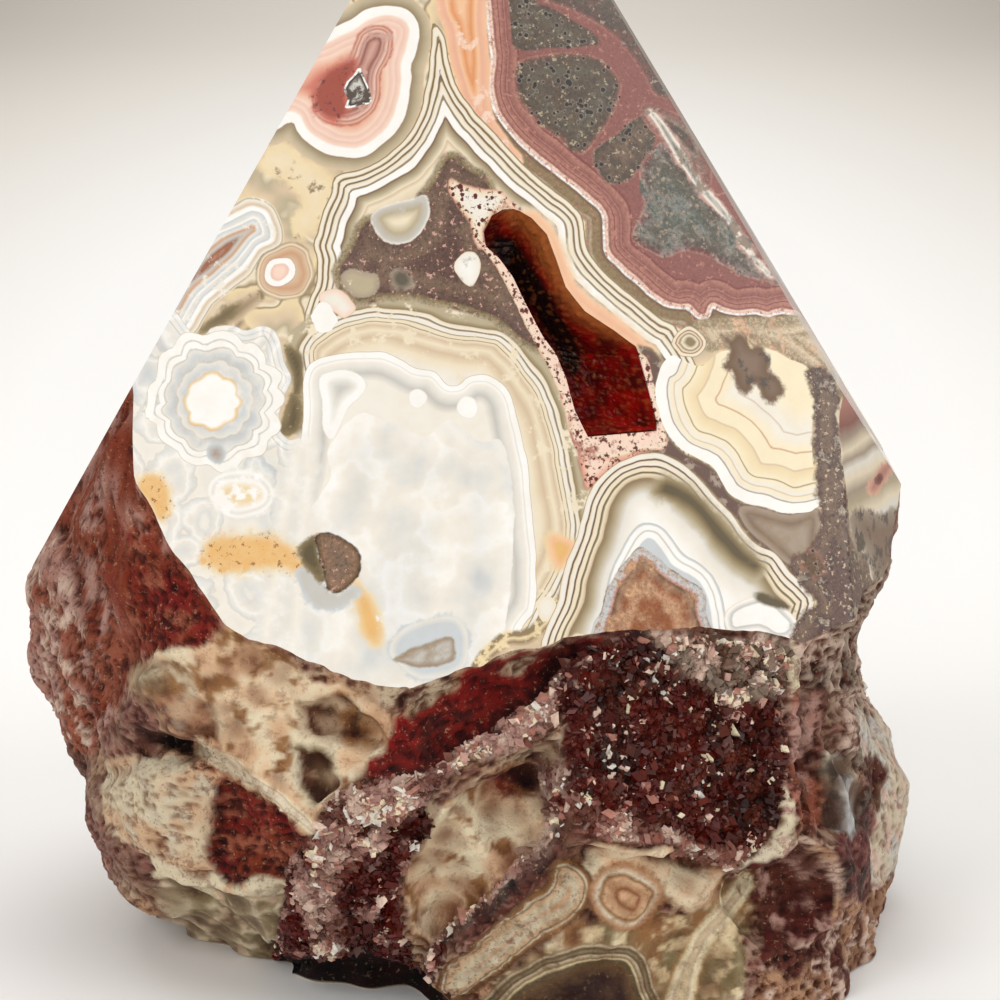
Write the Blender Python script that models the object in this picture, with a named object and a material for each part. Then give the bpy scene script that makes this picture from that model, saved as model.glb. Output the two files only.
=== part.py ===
"""Crazy lace agate sculpture: a natural nodule with a flat sawn foot, ground to a polished point.

The nodule is lofted from upright profiles around a vertical axis through the point. Flat facets are
sawn off it, and a druse pocket is cut into the front right facet and lined with small crystals.
The front looks along +Y. Lengths are in millimetres, and meshes are turned to metres at the end.
"""

import bmesh
import bpy
import numpy as np
from mathutils import Vector

MM = 0.001

# Overall size, and the spare stone that the saw takes off above the point and under the foot
HEIGHT = 100.0
SPARE = 4.0

# Facets through the point: the bearing that each faces in degrees, and its run out for each unit down
POINT_FACETS = {
    "front_left": (-99.0, 0.404),
    "front_right": (-69.0, 0.404),
    "right": (-1.2, 0.610),
    "back_right": (55.0, 0.440),
    "back_left": (118.0, 0.420),
    "left": (179.0, 0.577),
}
# A steeper facet under the right one: its bearing, its lean from upright, and its corner at the front
SIDE_BEARING = -24.8
SIDE_LEAN = 12.6
SIDE_CORNER = Vector((30.2, -10.4, 49.3))

# Height of the edge of the polish at each bearing around the axis
POLISH_EDGE = {
    -180: 33.0, -175: 32.5, -168: 34.0, -161: 40.5, -156: 46.0, -151.4: 51.3, -146.7: 44.0,
    -140.9: 39.5, -130.4: 33.3, -119: 31.0, -110.6: 29.6, -100.8: 29.2, -89.5: 31.1, -85.5: 32.1,
    -75.9: 32.7, -65: 33.0, -50.7: 32.7, -42.5: 31.8, -36.6: 30.7, -30: 31.5, -24: 33.5, -15: 33.5,
    -10: 35.3, -5: 37.5, -1: 39.8, 5: 41.5, 15: 41.0, 35: 40.0, 48: 37.0, 60: 36.0, 75: 38.0,
    90: 37.0, 105: 39.0, 120: 40.0, 133: 42.0, 145: 40.0, 155: 38.5, 165: 37.0, 172: 35.0,
}

# Radius of the natural stone at these heights, for each bearing around the axis
PROFILE_STEP = 5.0
PROFILE_HEIGHTS = (0, 5, 10, 15, 20, 25, 30, 35, 40, 45)
PROFILES = {
    -180: (28.0, 31.0, 34.3, 35.6, 36.6, 37.6, 38.4, 38.6, 37.0, 35.0),
    -170: (27.0, 32.5, 34.0, 35.3, 36.8, 37.8, 38.6, 39.0, 37.5, 35.0),
    -160: (28.0, 32.0, 33.8, 35.0, 36.0, 37.0, 37.4, 37.8, 36.8, 34.5),
    -150: (25.5, 30.5, 33.3, 34.4, 35.3, 35.7, 35.7, 35.5, 34.6, 33.8),
    -140: (23.3, 28.5, 32.2, 33.8, 34.4, 34.5, 34.2, 33.7, 32.8, 31.5),
    -130: (23.5, 28.0, 30.8, 31.8, 32.5, 32.6, 32.2, 31.6, 30.5, 29.5),
    -115: (23.0, 27.0, 29.5, 30.5, 30.8, 30.5, 29.6, 29.0, 28.0, 27.0),
    -100: (22.6, 26.5, 28.5, 29.5, 29.6, 29.2, 28.8, 28.0, 27.0, 26.0),
    -85: (26.5, 28.5, 29.5, 29.8, 29.3, 28.6, 28.6, 28.0, 27.0, 26.0),
    -70: (29.5, 30.0, 31.0, 30.8, 29.6, 27.8, 26.6, 26.5, 26.0, 25.0),
    -55: (33.0, 32.5, 32.3, 31.6, 30.2, 28.6, 27.4, 27.0, 26.5, 26.0),
    -40: (38.5, 37.0, 36.0, 34.8, 33.4, 31.8, 30.8, 31.0, 31.0, 30.0),
    -28: (37.5, 36.5, 36.0, 35.3, 34.6, 34.0, 33.8, 34.0, 33.5, 33.0),
    -15: (35.0, 36.0, 36.2, 35.6, 34.2, 33.6, 34.0, 35.5, 35.5, 34.0),
    0: (35.5, 37.0, 37.6, 37.0, 34.6, 34.0, 35.2, 36.6, 36.6, 35.0),
    15: (35.5, 36.8, 37.0, 36.0, 34.6, 34.3, 35.0, 35.0, 34.0, 33.0),
    35: (32.0, 33.5, 34.5, 34.0, 33.5, 33.0, 32.0, 30.5, 28.5, 27.0),
    60: (28.0, 30.0, 31.0, 31.5, 31.5, 31.0, 30.0, 28.7, 27.0, 26.0),
    90: (25.5, 28.0, 30.0, 31.0, 31.5, 31.5, 31.0, 30.3, 29.0, 28.0),
    120: (26.5, 29.0, 30.5, 31.5, 31.8, 31.0, 29.5, 27.5, 25.5, 25.0),
    145: (28.5, 30.5, 32.0, 33.0, 33.5, 32.8, 31.5, 30.0, 28.5, 28.0),
    165: (28.5, 32.0, 34.2, 35.6, 36.8, 37.6, 38.0, 38.0, 36.0, 34.0),
}
# Depth below the edge of the polish over which the natural stone takes up its own profile, and over
# which its lumps and relief grow to their full height
EDGE_BLEND = 6.0
RELIEF_BLEND = 2.0
# The natural stone stays this far inside the planes of the facets, a little less on its lumps, and
# rounds off towards them over this much
SAW_MARGIN = 0.5
SAW_MARGIN_PER_LUMP = 0.3
SAW_SOFTNESS = 0.7

# Lumps all over the natural stone: height, waves around, waves up the stone, phase
LUMPS = ((0.55, 5, 1.3, 0.4), (0.45, 9, -2.1, 1.9), (0.35, 14, 3.4, 4.0), (0.30, 23, -5.2, 2.2),
         (0.22, 31, 7.3, 5.1))

# Swells and hollows away from the front: bearing, height up the stone, half width, rise
SWELLS = ((60, 20, 10, 1.7), (95, 12, 8, -1.9), (130, 25, 11, 1.8), (152, 10, 9, -1.5),
          (22, 28, 7, -1.6), (4, 12, 8, 1.2), (176, 22, 9, 1.1), (110, 31, 7, -1.4), (36, 9, 8, 1.3),
          (75, 33, 6, 0.9), (140, 36, 6, -1.0))

# Relief on the front is outlined as it is seen from in front: millimetres across from the axis, and up
VIEW_DISTANCE = 280.0
VIEW_TILT = np.radians(14.0)
VIEW_TARGET = np.array((1.832, 0.0, 37.70))
VIEW_CENTRE = np.array((1.936, 35.464))
# Sine of the bearing where the front relief starts to show at the sides, and where it is full
FRONT_STARTS = 0.133
FRONT_FULL = -0.2

# Height that each patch stands out, the width of its soft edge, and its outline
PATCHES = {
    "druse_boulder": (2.6, 1.6, (
        (8.1, 21.4), (12.5, 23.1), (19.5, 23.8), (24.8, 23.1), (27.5, 21.4), (26.8, 17.9), (26.1, 12.6),
        (27.0, 7.3), (25.7, 4.2), (22.6, 3.3), (19.5, 4.7), (12.5, 4.7), (8.5, 5.5), (7.2, 9.1),
        (6.8, 13.5), (7.7, 17.9))),
    "maroon_seam": (-1.5, 2.4, (
        (-6.9, 16.1), (-3.3, 18.7), (0.2, 20.5), (7.2, 22.7), (8.5, 21.8), (7.2, 19.6), (1.9, 14.8),
        (-3.3, 12.1), (-7.3, 11.7))),
    "pale_window": (-1.6, 3.2, (
        (-6.0, 2.0), (-4.2, 5.5), (-1.6, 9.1), (1.1, 9.9), (4.6, 11.3), (6.5, 10.8), (6.9, 7.3),
        (5.5, 3.8), (1.9, 0.3), (-1.6, -2.8), (-3.3, -4.1), (-4.7, -1.5))),
    "banded_foot": (-1.1, 3.2, (
        (2.5, -1.0), (6.5, 3.4), (10.7, 4.7), (19.5, 4.5), (22.6, 3.1), (23.1, 0.3), (22.2, -5.0),
        (19.5, -10.5), (-3.3, -10.4), (-2.9, -6.0))),
    "right_pocket": (-3.0, 2.4, (
        (23.5, 2.0), (25.3, 3.8), (27.5, 5.1), (29.4, 4.0), (30.5, 2.0), (30.5, -1.1), (28.3, -3.3),
        (25.3, -3.3), (23.5, -1.1))),
    "upright_slot": (-3.2, 2.2, (
        (27.9, 17.9), (29.4, 18.7), (30.3, 17.9), (29.9, 14.3), (30.8, 10.8), (31.2, 7.3), (30.1, 6.4),
        (28.5, 9.5), (27.3, 13.5))),
    "small_slot": (-2.2, 1.8, (
        (31.7, 18.3), (32.7, 17.9), (32.0, 15.2), (32.7, 11.7), (31.9, 12.1), (30.8, 14.8))),
    "grey_hollow": (-1.7, 2.4, (
        (-14.6, 17.9), (-12.6, 17.9), (-9.5, 15.7), (-8.2, 13.9), (-10.4, 12.6), (-13.0, 13.0),
        (-14.6, 14.8))),
    "left_bump": (1.3, 2.4, (
        (-30.6, 19.6), (-27.5, 20.9), (-24.5, 18.7), (-24.0, 14.8), (-28.0, 14.5), (-30.6, 16.1))),
    "left_pit": (-2.0, 1.8, (
        (-29.9, 14.5), (-27.1, 14.2), (-24.0, 13.3), (-24.5, 12.4), (-27.5, 12.8), (-29.7, 13.5))),
    "pebbly_lump": (1.3, 2.4, (
        (-32.8, 9.9), (-29.7, 12.1), (-25.3, 11.9), (-23.4, 9.1), (-24.0, 4.7), (-25.3, 1.1),
        (-28.9, 1.1), (-31.9, 5.5))),
    "olive_foot": (-1.4, 2.4, (
        (-27.1, 0.7), (-17.0, 1.0), (-17.0, -7.5), (-28.7, -7.3))),
}
# Height of each ridge, its half width, and its course
RIDGES = {
    "crystal_ledge": (1.6, 2.4, ((12.5, 22.3), (7.2, 16.5), (3.7, 13.9), (-2.5, 10.8), (-8.6, 11.7),
                                 (-14.8, 6.4))),
    "blade": (1.2, 3.0, ((6.8, 14.8), (7.5, 11.7), (7.2, 7.3), (5.9, 3.8), (1.9, -0.2), (-2.9, -5.0),
                         (-3.3, -9.0))),
    "pocket_rim": (1.1, 2.0, ((22.6, 3.1), (25.3, 4.7), (27.5, 6.2), (29.7, 5.1), (31.2, 2.9),
                              (31.4, 0.3), (30.8, -1.9))),
    "pale_rib": (1.0, 2.2, ((-17.0, 20.5), (-13.0, 18.7), (-9.1, 16.8), (-5.5, 13.9))),
    "left_rib": (0.9, 2.2, ((-22.0, 13.5), (-18.0, 10.5), (-14.5, 7.0))),
}

# The patches and ridges whose surface is a crust of crystals, the size of the crystals, how far their
# points stand out, and how much of its own cell each one strays over
DRUSE_PATCHES = ("druse_boulder",)
DRUSE_RIDGES = ("crystal_ledge",)
CRYSTAL_SIZE = 2.3
CRYSTAL_RISE = 0.9
CRYSTAL_STRAY = 0.7

# The druse pocket in the front right facet, outlined from in front, and its rings going in: depth,
# share of the outline's size, and shift across towards its steeper left wall
POCKET_FACET = "front_right"
POCKET_OUTLINE = (
    (2.64, 61.3), (4.75, 60.3), (6.1, 58.9), (6.9, 56.8), (7.7, 54.2), (9.4, 52.1), (12.0, 50.4),
    (14.0, 48.9), (14.9, 45.8), (15.75, 42.4), (15.75, 40.7), (13.6, 40.7), (11.1, 40.6), (9.4, 41.4),
    (8.5, 43.3), (7.7, 46.2), (6.9, 48.3), (5.6, 50.0), (4.3, 52.5), (3.1, 55.1), (1.85, 56.8),
    (0.5, 57.6), (0.5, 59.2), (1.4, 60.5))
POCKET_RINGS = ((-1.5, 1.03, 0.0), (0.0, 1.0, 0.0), (2.0, 0.93, 0.2), (4.0, 0.8, 0.7), (5.5, 0.6, 1.0),
                (6.3, 0.3, 1.1))
POCKET_COLUMNS = 48
# The crystals that line it: clearance to the stone, thickness of the crust, how far its rim lies under
# the facet, height of the points, and how many there are around the pocket and down it
CRUST_GAP = 0.4
CRUST_THICK = 0.7
CRUST_RIM = 0.9
CRYSTAL_HEIGHT = 0.5
CRUST_COLUMNS = 48
CRUST_ROWS = 9

# Bearings and rows of the lofted nodule, closer together on the front, and how far its top row stops
# under the edge of the polish
FRONT_COLUMNS = 74
BACK_COLUMNS = 34
FRONT_FROM = -176.0
FRONT_TO = 14.0
ROWS = 28
TOP_ROW_DROP = 0.8

# Base colour and roughness of the stone and of the crystals
STONE_LOOK = ((0.55, 0.45, 0.38), 0.35)
CRYSTAL_LOOK = ((0.35, 0.1, 0.05), 0.25)


def smooth_step(value):
    value = np.clip(value, 0.0, 1.0)
    return value * value * (3.0 - 2.0 * value)


def smooth_curve(part, before, start, end, after):
    """Cubic from start to end whose slopes come from the values on either side."""
    lead = (end - before) / 2
    trail = (after - start) / 2
    return (start * (1 + 2 * part) * (1 - part) ** 2 + lead * part * (1 - part) ** 2
            + end * part ** 2 * (3 - 2 * part) - trail * part ** 2 * (1 - part))


def profile_radius(bearings, heights):
    """Radius of the stated profiles, smooth around the stone and up it."""
    stops = np.array(sorted(PROFILES), float)
    table = np.array([PROFILES[stop] for stop in sorted(PROFILES)], float)
    after = np.searchsorted(stops, bearings, side="right")
    count = len(stops)
    near = [(after + step) % count for step in (-2, -1, 0, 1)]
    span = (stops[near[2]] - stops[near[1]]) % 360.0
    part = ((bearings - stops[near[1]]) % 360.0) / span
    level = np.clip(heights / PROFILE_STEP, 0.0, len(PROFILE_HEIGHTS) - 1.001)
    row = level.astype(int)
    rows = [np.clip(row + step, 0, len(PROFILE_HEIGHTS) - 1) for step in (-1, 0, 1, 2)]
    rings = [smooth_curve(level - row, *(table[column, each] for each in rows)) for column in near]
    return smooth_curve(part, *rings)


def polish_edge(bearings):
    """Height of the edge of the polish, straight from one stated bearing to the next."""
    turn = np.mod(bearings + 180.0, 360.0) - 180.0
    stops = np.array([*POLISH_EDGE, 180.0])
    return np.interp(turn, stops, [*POLISH_EDGE.values(), POLISH_EDGE[-180]])


def facet_planes():
    """Each facet's outward direction and a point on it."""
    point = Vector((0.0, 0.0, HEIGHT))
    planes = {}
    for name, (bearing, run) in POINT_FACETS.items():
        turn = np.radians(bearing)
        planes[name] = (Vector((np.cos(turn), np.sin(turn), run)).normalized(), point)
    turn = np.radians(SIDE_BEARING)
    lean = np.tan(np.radians(SIDE_LEAN))
    planes["side"] = (Vector((np.cos(turn), np.sin(turn), lean)).normalized(), SIDE_CORNER)
    return planes


def polished_radius(bearings, heights):
    """Distance from the axis out to the nearest facet plane."""
    turn = np.radians(bearings)
    nearest = np.full(np.broadcast(turn, heights).shape, np.inf)
    for normal, point in facet_planes().values():
        facing = normal.x * np.cos(turn) + normal.y * np.sin(turn)
        reach = (normal.dot(point) - normal.z * heights) / np.maximum(facing, 1e-6)
        nearest = np.where(facing > 1e-3, np.minimum(nearest, reach), nearest)
    return nearest


def view_axes():
    ahead = np.array((0.0, np.cos(VIEW_TILT), -np.sin(VIEW_TILT)))
    upward = np.array((0.0, np.sin(VIEW_TILT), np.cos(VIEW_TILT)))
    return ahead, upward, VIEW_TARGET - VIEW_DISTANCE * ahead


def seen_from_front(points):
    """Where points show in the front view: millimetres across from the axis, and up."""
    ahead, upward, eye = view_axes()
    sight = points - eye
    depth = sight @ ahead
    seen = np.stack((sight[..., 0] / depth, (sight @ upward) / depth), -1)
    return VIEW_CENTRE + VIEW_DISTANCE * seen


def cast_on_facet(outline, name):
    """Carry an outline of the front view along the lines of sight onto a facet."""
    ahead, upward, eye = view_axes()
    offset = (np.asarray(outline) - VIEW_CENTRE) / VIEW_DISTANCE
    sight = ahead + offset[:, :1] * np.array((1.0, 0.0, 0.0)) + offset[:, 1:] * upward
    normal, point = facet_planes()[name]
    normal = np.array(normal)
    reach = (normal @ np.array(point) - normal @ eye) / (sight @ normal)
    return eye + sight * reach[:, None]


def edge_distance(spots, course, closed):
    """Distance from each spot to a course of straight runs, and whether the spot is inside it."""
    nearest = np.full(spots.shape[:-1], np.inf)
    inside = np.zeros(spots.shape[:-1], bool)
    course = np.asarray(course, float)
    ends = np.roll(course, -1, axis=0) if closed else course[1:]
    for start, end in zip(course, ends):
        run = end - start
        share = np.clip(((spots - start) @ run) / (run @ run), 0.0, 1.0)
        nearest = np.minimum(nearest, np.linalg.norm(spots - start - share[..., None] * run, axis=-1))
        crosses = (start[1] > spots[..., 1]) != (end[1] > spots[..., 1])
        rise = run[1] if abs(run[1]) > 1e-9 else 1e-9
        inside ^= crosses & (spots[..., 0] < start[0] + run[0] * (spots[..., 1] - start[1]) / rise)
    return nearest, inside


def crystal_points(spots):
    """Faceted cones around one scattered centre in each cell of a square net: 1 at a point, 0 between."""
    cell = np.floor(spots / CRYSTAL_SIZE)
    nearest = np.full(spots.shape[:-1], np.inf)
    for across in (-1, 0, 1):
        for up in (-1, 0, 1):
            own = cell + (across, up)
            mix = np.sin(own @ np.array(((12.99, 39.35), (78.23, 11.14)))) * 437.5
            centre = (own + 0.5 + CRYSTAL_STRAY * (mix - np.floor(mix) - 0.5)) * CRYSTAL_SIZE
            nearest = np.minimum(nearest, np.abs(spots - centre).sum(axis=-1))
    return np.clip(1.0 - nearest / CRYSTAL_SIZE, 0.0, 1.0)


def front_relief(spots):
    """Height of the patches and ridges at spots of the front view, and the share of druse there."""
    height = np.zeros(spots.shape[:-1])
    druse = np.zeros(spots.shape[:-1])
    for name, (rise, softness, outline) in PATCHES.items():
        nearest, inside = edge_distance(spots, outline, closed=True)
        share = smooth_step(0.5 + np.where(inside, nearest, -nearest) / softness)
        height += rise * share
        druse = np.maximum(druse, share) if name in DRUSE_PATCHES else druse
    for name, (rise, half_width, course) in RIDGES.items():
        nearest, _ = edge_distance(spots, course, closed=False)
        share = smooth_step(1.0 - nearest / half_width)
        height += rise * share
        druse = np.maximum(druse, share) if name in DRUSE_RIDGES else druse
    return height, druse


def natural_radius(bearings, heights):
    """Radius of the natural stone: its profiles, lumps and relief, held inside the facet planes."""
    edge = polish_edge(bearings)
    own = profile_radius(bearings, heights)
    below = edge - heights
    rim = polished_radius(bearings, edge)
    radius = rim + (own - rim) * smooth_step(below / EDGE_BLEND)
    turn = np.radians(bearings)
    lumps = sum(rise * np.cos(waves * turn + climb * heights / 10.0 + phase)
                for rise, waves, climb, phase in LUMPS)
    for bearing, height, half_width, rise in SWELLS:
        aside = np.sin((turn - np.radians(bearing)) / 2.0) * 2.0 * radius
        lumps = lumps + rise * smooth_step(1.0 - np.hypot(aside, heights - height) / half_width)
    spots = seen_from_front(np.stack((radius * np.cos(turn), radius * np.sin(turn), heights), -1))
    facing_front = smooth_step((FRONT_STARTS - np.sin(turn)) / (FRONT_STARTS - FRONT_FULL))
    grown = smooth_step(below / RELIEF_BLEND)
    relief, druse = front_relief(spots)
    radius = radius + (lumps + relief * facing_front) * grown
    margin = SAW_MARGIN - SAW_MARGIN_PER_LUMP * np.clip(lumps, -1.0, 1.0)
    limit = polished_radius(bearings, heights) - margin * grown
    softness = SAW_SOFTNESS * grown + 0.01
    radius = limit - softness * np.logaddexp(0.0, (limit - radius) / softness)
    sunk = CRYSTAL_RISE * druse * facing_front * (1.0 - crystal_points(spots))
    return radius - sunk * grown


def nodule_grid():
    """Columns around the axis and rows up to the edge of the polish, as (column, row, xyz)."""
    front = np.linspace(FRONT_FROM, FRONT_TO, FRONT_COLUMNS, endpoint=False)
    back = np.linspace(FRONT_TO, FRONT_FROM + 360.0, BACK_COLUMNS, endpoint=False)
    bearings = np.concatenate((front, back))[:, None]
    share = np.linspace(0.0, 1.0, ROWS)
    heights = share * (polish_edge(bearings) - TOP_ROW_DROP)
    radius = natural_radius(bearings, heights)
    rim = polished_radius(bearings, polish_edge(bearings))
    heights = np.hstack((np.full_like(rim, -SPARE), heights, np.full_like(rim, HEIGHT + SPARE)))
    radius = np.hstack((radius[:, :1], radius, rim))
    turn = np.radians(bearings)
    return np.stack((radius * np.cos(turn), radius * np.sin(turn), heights), -1)


def loft(mesh, grid):
    """Skin a grid of (column, row, xyz) that closes on itself around its columns, and close its ends."""
    columns, rows, _ = grid.shape
    verts = [[mesh.verts.new(spot) for spot in column] for column in grid]
    for column in range(columns):
        following = (column + 1) % columns
        for row in range(rows - 1):
            mesh.faces.new((verts[column][row], verts[following][row], verts[following][row + 1],
                            verts[column][row + 1]))
    mesh.faces.new([verts[column][0] for column in reversed(range(columns))])
    mesh.faces.new([verts[column][-1] for column in range(columns)])


def saw_off(mesh, point, normal):
    """Take away everything outside a plane, and close the cut with one flat face."""
    cut = bmesh.ops.bisect_plane(mesh, geom=mesh.verts[:] + mesh.edges[:] + mesh.faces[:], dist=1e-5,
                                 plane_co=point, plane_no=normal, clear_outer=True)
    edges = [item for item in cut["geom_cut"] if isinstance(item, bmesh.types.BMEdge)]
    bmesh.ops.holes_fill(mesh, edges=edges, sides=0)


def pocket_grid(depths, columns, inset=0.0):
    """Rings of the pocket at some depths as (column, ring, xyz), drawn in from its wall by an inset."""
    mouth = cast_on_facet(POCKET_OUTLINE, POCKET_FACET)
    closed = np.vstack((mouth, mouth[:1]))
    reach = np.concatenate(((0.0,), np.cumsum(np.linalg.norm(np.diff(closed, axis=0), axis=1))))
    places = np.linspace(0.0, reach[-1], columns, endpoint=False)
    mouth = np.stack([np.interp(places, reach, closed[:, axis]) for axis in range(3)], -1)
    normal = np.array(facet_planes()[POCKET_FACET][0])
    centre = mouth.mean(axis=0)
    along = np.roll(mouth, -1, axis=0) - np.roll(mouth, 1, axis=0)
    along /= np.linalg.norm(along, axis=1)[:, None]
    turning = np.cross(mouth - centre, np.roll(mouth, -1, axis=0) - centre).sum(axis=0) @ normal
    inward = np.cross(normal, along) * np.sign(turning)
    stops, shares, shifts = np.array(POCKET_RINGS).T
    rings = []
    for depth in depths:
        share = np.interp(depth, stops, shares)
        shift = np.array((-np.interp(depth, stops, shifts), 0.0, 0.0))
        lifted = depth - inset * (depth - depths[0]) / (depths[-1] - depths[0])
        rings.append(centre + shift + (mouth - centre) * share + inward * inset * share
                     - normal * lifted)
    return np.stack(rings, 1)


def finish_object(name, mesh, look):
    """Turn a mesh into a named object with its material."""
    colour, roughness = look
    bmesh.ops.recalc_face_normals(mesh, faces=mesh.faces[:])
    data = bpy.data.meshes.new(name)
    mesh.to_mesh(data)
    mesh.free()
    thing = bpy.data.objects.new(name, data)
    bpy.context.collection.objects.link(thing)
    material = bpy.data.materials.new(name)
    material.use_nodes = True
    shader = material.node_tree.nodes["Principled BSDF"]
    shader.inputs["Base Color"].default_value = (*colour, 1.0)
    shader.inputs["Roughness"].default_value = roughness
    shader.inputs["Metallic"].default_value = 0.0
    data.materials.append(material)
    return thing


def make_stone():
    """The nodule with its facets sawn and its foot cut flat."""
    mesh = bmesh.new()
    loft(mesh, nodule_grid())
    for normal, point in facet_planes().values():
        saw_off(mesh, point, normal)
    saw_off(mesh, Vector((0.0, 0.0, 0.0)), Vector((0.0, 0.0, -1.0)))
    return finish_object("agate_stone", mesh, STONE_LOOK)


def cut_pocket(stone):
    """Cut the druse pocket into the stone with a closed cutter of the pocket's form."""
    mesh = bmesh.new()
    loft(mesh, pocket_grid([ring[0] for ring in POCKET_RINGS], POCKET_COLUMNS))
    cutter = finish_object("pocket_cutter", mesh, CRYSTAL_LOOK)
    cutter.hide_render = True
    cutter.display_type = "WIRE"
    cut = stone.modifiers.new("druse_pocket", "BOOLEAN")
    cut.operation = "DIFFERENCE"
    cut.solver = "EXACT"
    cut.object = cutter


def make_crust():
    """A thin crust on the pocket's wall, each of its inner faces drawn up into a crystal's point."""
    depths = np.linspace(CRUST_RIM, POCKET_RINGS[-1][0], CRUST_ROWS)
    outer = pocket_grid(depths, CRUST_COLUMNS, inset=CRUST_GAP)
    inner = pocket_grid(depths, CRUST_COLUMNS, inset=CRUST_GAP + CRUST_THICK)
    mesh = bmesh.new()
    loft(mesh, np.concatenate((outer[:, ::-1], inner), axis=1))
    bmesh.ops.recalc_face_normals(mesh, faces=mesh.faces[:])
    mesh.faces.ensure_lookup_table()
    facing = [face for face in mesh.faces if len(face.verts) == 4
              and face.index % (2 * CRUST_ROWS - 1) >= CRUST_ROWS]
    bmesh.ops.poke(mesh, faces=facing, offset=CRYSTAL_HEIGHT, center_mode="MEAN")
    return finish_object("crystal_crust", mesh, CRYSTAL_LOOK)


def stand_at_origin(things):
    """Bring the foot's middle to the origin, and turn millimetres into metres."""
    corners = np.array([vert.co for vert in things[0].data.vertices])
    middle = (corners.min(axis=0) + corners.max(axis=0)) / 2
    shift = Vector((-middle[0], -middle[1], -corners[:, 2].min()))
    for thing in things:
        for vert in thing.data.vertices:
            vert.co = (vert.co + shift) * MM


def main():
    for thing in list(bpy.data.objects):
        bpy.data.objects.remove(thing, do_unlink=True)
    stone = make_stone()
    cut_pocket(stone)
    crust = make_crust()
    stand_at_origin([stone, crust, bpy.data.objects["pocket_cutter"]])


main()
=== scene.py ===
"""Crazy lace agate sculpture: a polished point on its natural druse and rind.

The shape follows the solids: upright profiles around an axis through the point, cut by flat facets.
Lengths are in millimetres around that axis until a mesh is finished in metres. The banded pattern
comes from outlines in the front view. Each one's depth is stored on the mesh, and the material turns
depths into bands.
"""

import functools

import bpy
import numpy as np
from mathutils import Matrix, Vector


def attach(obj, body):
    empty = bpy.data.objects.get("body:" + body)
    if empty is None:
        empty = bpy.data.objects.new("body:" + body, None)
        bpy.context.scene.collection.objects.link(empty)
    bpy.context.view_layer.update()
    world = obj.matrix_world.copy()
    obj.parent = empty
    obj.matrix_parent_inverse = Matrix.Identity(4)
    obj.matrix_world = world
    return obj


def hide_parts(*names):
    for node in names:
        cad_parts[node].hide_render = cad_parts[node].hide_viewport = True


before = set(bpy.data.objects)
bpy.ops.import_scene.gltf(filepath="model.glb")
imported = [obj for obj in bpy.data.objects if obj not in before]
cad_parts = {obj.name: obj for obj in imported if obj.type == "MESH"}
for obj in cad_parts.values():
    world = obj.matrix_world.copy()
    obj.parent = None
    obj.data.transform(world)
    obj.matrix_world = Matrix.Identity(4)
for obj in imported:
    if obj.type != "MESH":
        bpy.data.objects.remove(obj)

bl_info = {
    "name": "Crazy lace agate point",
    "version": (1, 0, 0),
    "blender": (4, 5, 0),
    "location": "View3D > Sidebar > Agate",
    "description": "Builds a polished lace agate point with its natural base and druse",
    "category": "Add Mesh",
}

MM = 0.001
# Scrambled numbers: the multiple of the sine, the ways along which corners and cells count, and the
# shift for each seed
SCRAMBLE = 43758.5453
CORNER_WAY = np.array((12.9898, 78.233, 37.719))
CORNER_SEED = 17.3
CELL_WAY = np.array((127.1, 311.7, 74.7))
CELL_SEED = 19.19
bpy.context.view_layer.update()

# Overall height, and the facets through the point: bearing in degrees, and run out for each unit down
HEIGHT = 100.0
POINT_FACETS = {
    "front_left": (-99.0, 0.404),
    "front_right": (-69.0, 0.404),
    "right": (-1.2, 0.610),
    "back_right": (55.0, 0.440),
    "back_left": (118.0, 0.420),
    "left": (179.0, 0.577),
}
# A steeper facet under the right one: its bearing, its lean from upright, and its corner at the front
SIDE_BEARING = -24.8
SIDE_LEAN = 12.6
SIDE_CORNER = np.array((30.2, -10.4, 49.3))

# Height of the edge of the polish at each bearing around the axis
POLISH_EDGE = {
    -180: 33.0, -175: 32.5, -168: 34.0, -161: 40.5, -156: 46.0, -151.4: 51.3, -146.7: 44.0,
    -140.9: 39.5, -130.4: 33.3, -119: 31.0, -110.6: 29.6, -100.8: 29.2, -89.5: 31.1, -85.5: 32.1,
    -75.9: 32.7, -65: 33.0, -50.7: 32.7, -42.5: 31.8, -36.6: 30.7, -30: 31.5, -24: 33.5, -15: 33.5,
    -10: 35.3, -5: 37.5, -1: 39.8, 5: 41.5, 15: 41.0, 35: 40.0, 48: 37.0, 60: 36.0, 75: 38.0,
    90: 37.0, 105: 39.0, 120: 40.0, 133: 42.0, 145: 40.0, 155: 38.5, 165: 37.0, 172: 35.0,
}
# Its fine chips: radius of the ring that their noise is read on, their height and width
CHIP_RING = 30.0
CHIP_HEIGHT = 0.55
CHIP_SIZE = 2.4

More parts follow.
